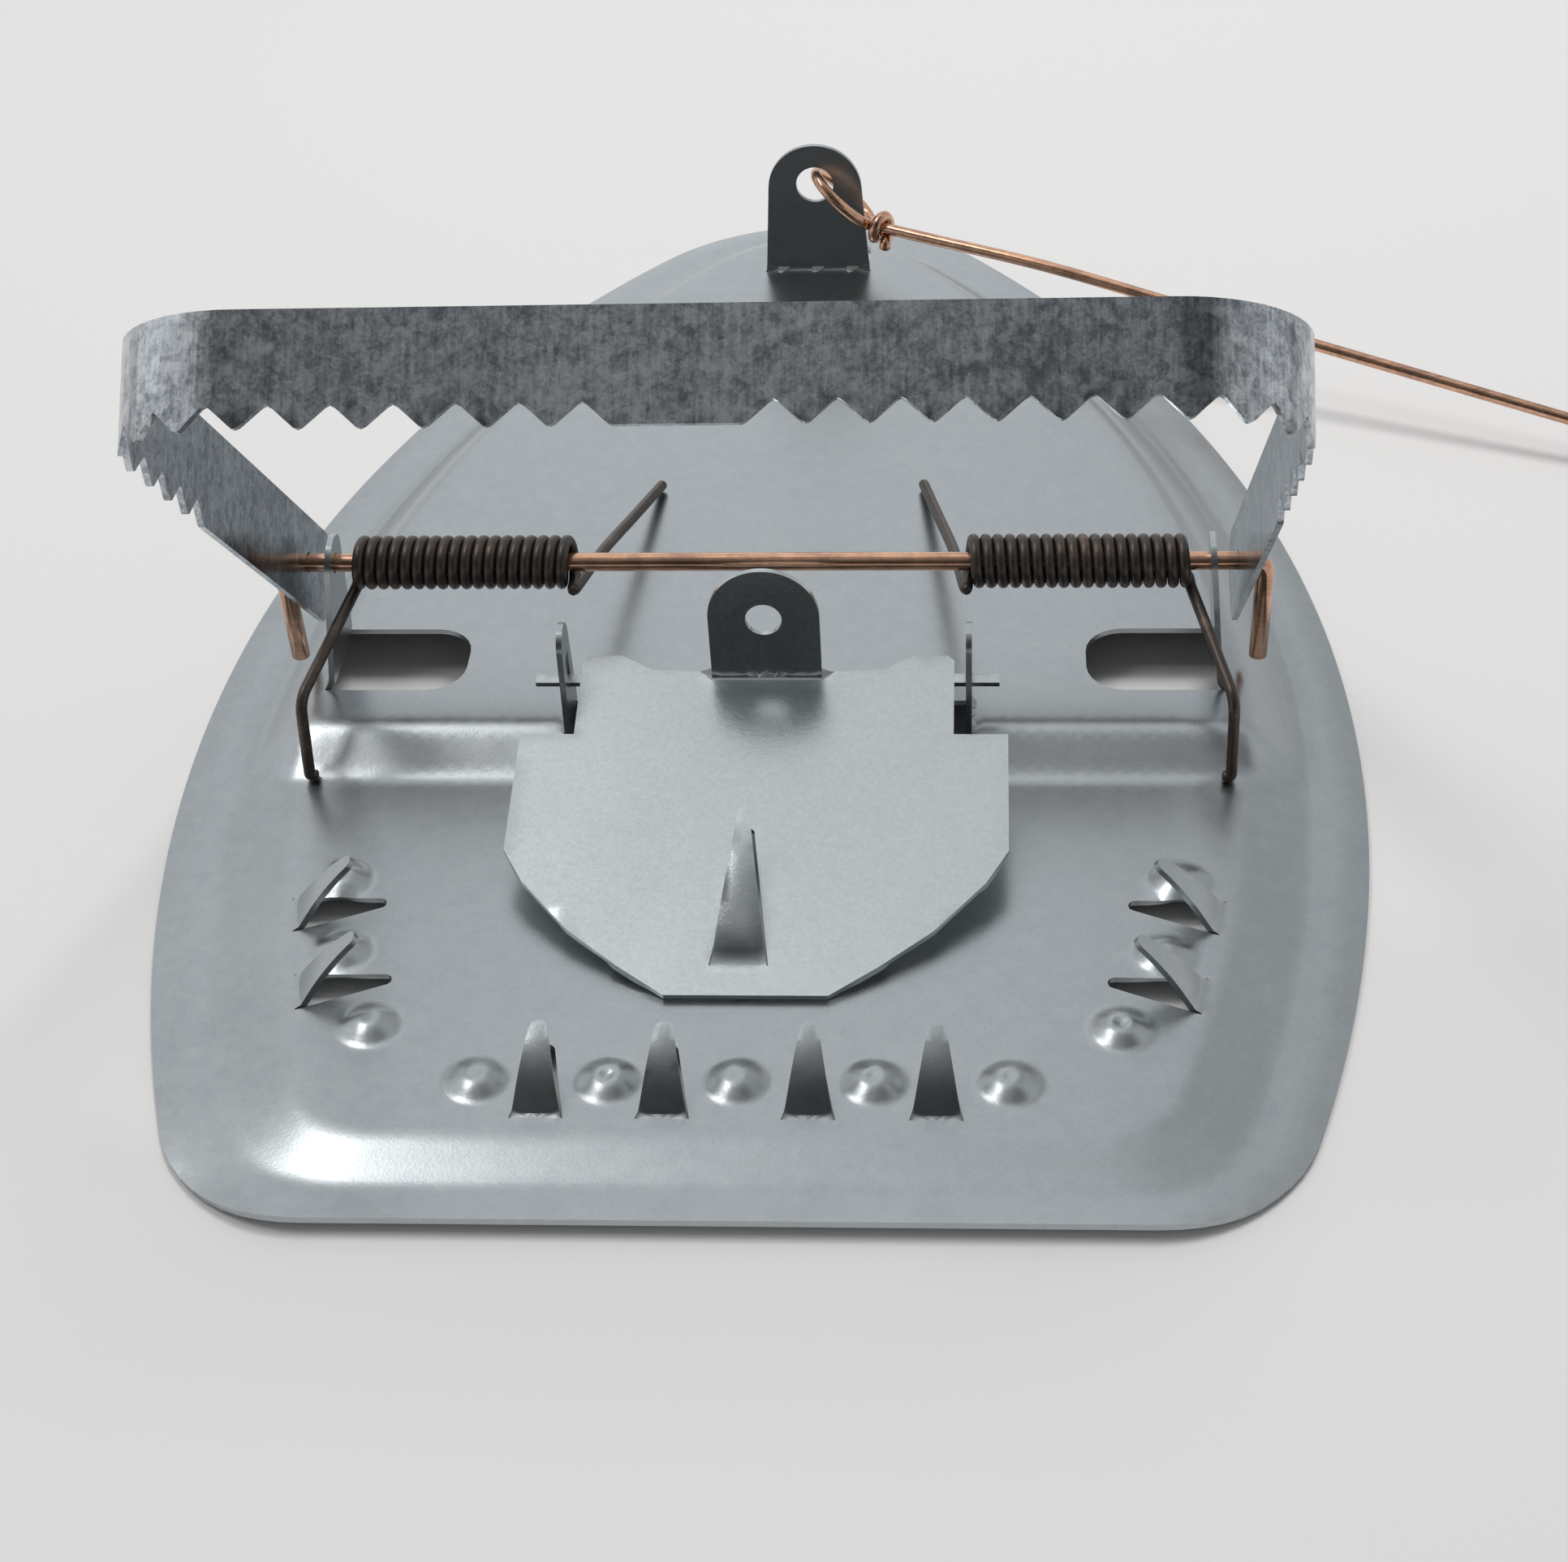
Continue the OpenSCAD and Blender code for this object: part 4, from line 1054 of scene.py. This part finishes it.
def add_floor(tone):
    """A wide pale floor under the trap."""
    reach = 2500.0
    corners = [(x * reach, y * reach, 0) for x, y in ((-1, -1), (1, -1), (1, 1), (-1, 1))]
    floor = settle(make("floor", [(corners, [(0, 1, 2, 3)])]))
    material, f = new_finish("pale_floor")
    f.surface(base_color=tone, roughness=0.7)
    floor.data.materials.append(material)
    floor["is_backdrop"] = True


def add_camera():
    """The camera at the photograph's angle, in millimetres and radians."""
    place, yaw, pitch, roll = (18.1, -122.493, 142.587), 0.0578, -0.7121, -0.0356
    right, forward, up = (Matrix.Rotation(yaw, 3, "Z") @ Matrix.Rotation(pitch, 3, "X")).col
    x_axis, y_axis = cos(roll) * right + sin(roll) * up, cos(roll) * up - sin(roll) * right
    basis = Matrix((x_axis, y_axis, -forward)).transposed().to_4x4()
    data = bpy.data.cameras.new("camera")
    data.lens, data.sensor_width, data.sensor_fit = 59.29, 36, "HORIZONTAL"
    data.shift_x, data.shift_y = -0.0524, 0.0338
    data.clip_start = 0.005
    camera = bpy.data.objects.new("camera", data)
    camera.matrix_world = Matrix.Translation(Vector(place) * MM) @ basis
    bpy.context.collection.objects.link(camera)
    bpy.context.scene.camera = camera


# Operators


class TRAP_OT_base_plate(bpy.types.Operator):
    """Press the base plate with its spikes, bumps, ears and rear tab"""
    bl_idname = "trap.base_plate"
    bl_label = "Base plate"

    def execute(self, context):
        plan, colours = Plan(context.scene), context.scene.trap_colours
        obj = make("pressed_base", BasePlate(plan, context.scene.trap_sheet).parts(), merge=0.02)
        finish = galvanised("galvanised_base", colours.zinc, colours.zinc_dark, 700.0, 0.31, 1.25)
        dress(thicken(obj, plan.t), "base", finish, "base_plate")
        return {"FINISHED"}


class TRAP_OT_jaw(bpy.types.Operator):
    """Cut the toothed strip and fold it into the jaw"""
    bl_idname = "trap.jaw"
    bl_label = "Jaw"

    def execute(self, context):
        plan, colours = Plan(context.scene), context.scene.trap_colours
        sheet = context.scene.trap_sheet
        obj = make("toothed_jaw", jaw_parts(plan, sheet))
        finish = galvanised("galvanised_jaw", colours.strip, colours.strip_dark, 1000.0, 0.2, 3.0,
                            streaks=0.9, strip_angle=sheet.jaw_angle)
        dress(thicken(obj, plan.t), "jaw", finish, "jaw")
        return {"FINISHED"}


class TRAP_OT_bait_plate(bpy.types.Operator):
    """Fold the bait plate with its catch tab and hook"""
    bl_idname = "trap.bait_plate"
    bl_label = "Bait plate"

    def execute(self, context):
        plan, colours = Plan(context.scene), context.scene.trap_colours
        pivot = (0, plan.bait_y, plan.bait_z)
        parts = (pan_part(plan), hook_part(plan))
        obj = make("bait_pan", [(tipped(points, plan.bait_tilt, pivot), faces) for points, faces in parts],
                   merge=0.02)
        finish = galvanised("galvanised_bait_plate", colours.bait, colours.zinc, 2200.0, 0.25, 1.6)
        dress(thicken(obj, plan.t), "bait", finish, "bait_plate")
        return {"FINISHED"}


class TRAP_OT_wires(bpy.types.Operator):
    """Bend the axle, both springs and the trip rod"""
    bl_idname = "trap.wires"
    bl_label = "Wires"

    def execute(self, context):
        plan, colours, sizes = Plan(context.scene), context.scene.trap_colours, context.scene.trap_wire
        axle = settle(make("axle_wire", [wire(axle_route(plan), plan.axle_r, 20)]))
        finish = coppered("coppered_axle", colours.copper, colours.copper_dark)
        dress(axle, "base", finish, "axle")
        steel = oiled_steel("oiled_spring_steel", colours.spring)
        for side, name in zip(SIDES, ("left", "right")):
            route = spring_route(plan, sizes, side)
            spring = settle(make(f"{name}_spring_wire", [wire(route, sizes.spring / MM / 2, 12)]))
            dress(spring, "base", steel, f"spring_{name}")
        rod = settle(make("trip_rod_wire", [wire(rod_route(plan), sizes.rod / MM / 2, 16)]))
        finish = coppered("coppered_rod", colours.copper, colours.copper_dark)
        dress(rod, "rod", finish, "trip_rod")
        return {"FINISHED"}


class TRAP_OT_stage(bpy.types.Operator):
    """Set the floor, the lamps, the room light and the camera"""
    bl_idname = "trap.stage"
    bl_label = "Stage"

    def execute(self, context):
        add_floor(context.scene.trap_colours.floor)
        area_light("softbox", (-0.35, 0.12, 0.74), (0.38, 0.17), radiance=6.5, tint=(1.0, 0.99, 0.97))
        fill = area_light("fill", (0.1, 0.3, 0.6), (0.22, 0.22), radiance=14.0, tint=(1.0, 1.0, 1.0))
        fill.visible_glossy = False
        room_light()
        add_camera()
        context.scene.view_settings.view_transform = "Standard"
        return {"FINISHED"}


class TRAP_PT_pieces(bpy.types.Panel):
    """Lists the pieces of the trap and their settings"""
    bl_idname = "TRAP_PT_pieces"
    bl_label = "Snap trap"
    bl_space_type = "VIEW_3D"
    bl_region_type = "UI"
    bl_category = "Snap trap"

    def draw(self, context):
        for operator in OPERATORS:
            self.layout.operator(operator.bl_idname)
        for name, group in GROUPS.items():
            box = self.layout.box()
            for key in group.__annotations__:
                box.prop(getattr(context.scene, name), key)


OPERATORS = (TRAP_OT_base_plate, TRAP_OT_jaw, TRAP_OT_bait_plate, TRAP_OT_wires, TRAP_OT_stage)
CLASSES = (*GROUPS.values(), *OPERATORS, TRAP_PT_pieces)


def register():
    """Registers the classes and gives the scene its settings."""
    for cls in CLASSES:
        bpy.utils.register_class(cls)
    for name, group in GROUPS.items():
        setattr(bpy.types.Scene, name, bpy.props.PointerProperty(type=group))


def unregister():
    """Takes back what register() did."""
    for name in GROUPS:
        delattr(bpy.types.Scene, name)
    for cls in reversed(CLASSES):
        bpy.utils.unregister_class(cls)


def main():
    """Builds every piece and the stage."""
    register()
    bpy.ops.trap.base_plate()
    bpy.ops.trap.jaw()
    bpy.ops.trap.bait_plate()
    bpy.ops.trap.wires()
    bpy.ops.trap.stage()
    boxes = {"cad": CAD_BOX, "visual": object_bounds()}
    lists = {key: [[float(v) for v in corner] for corner in box] for key, box in boxes.items()}


if __name__ == "__main__":
    main()
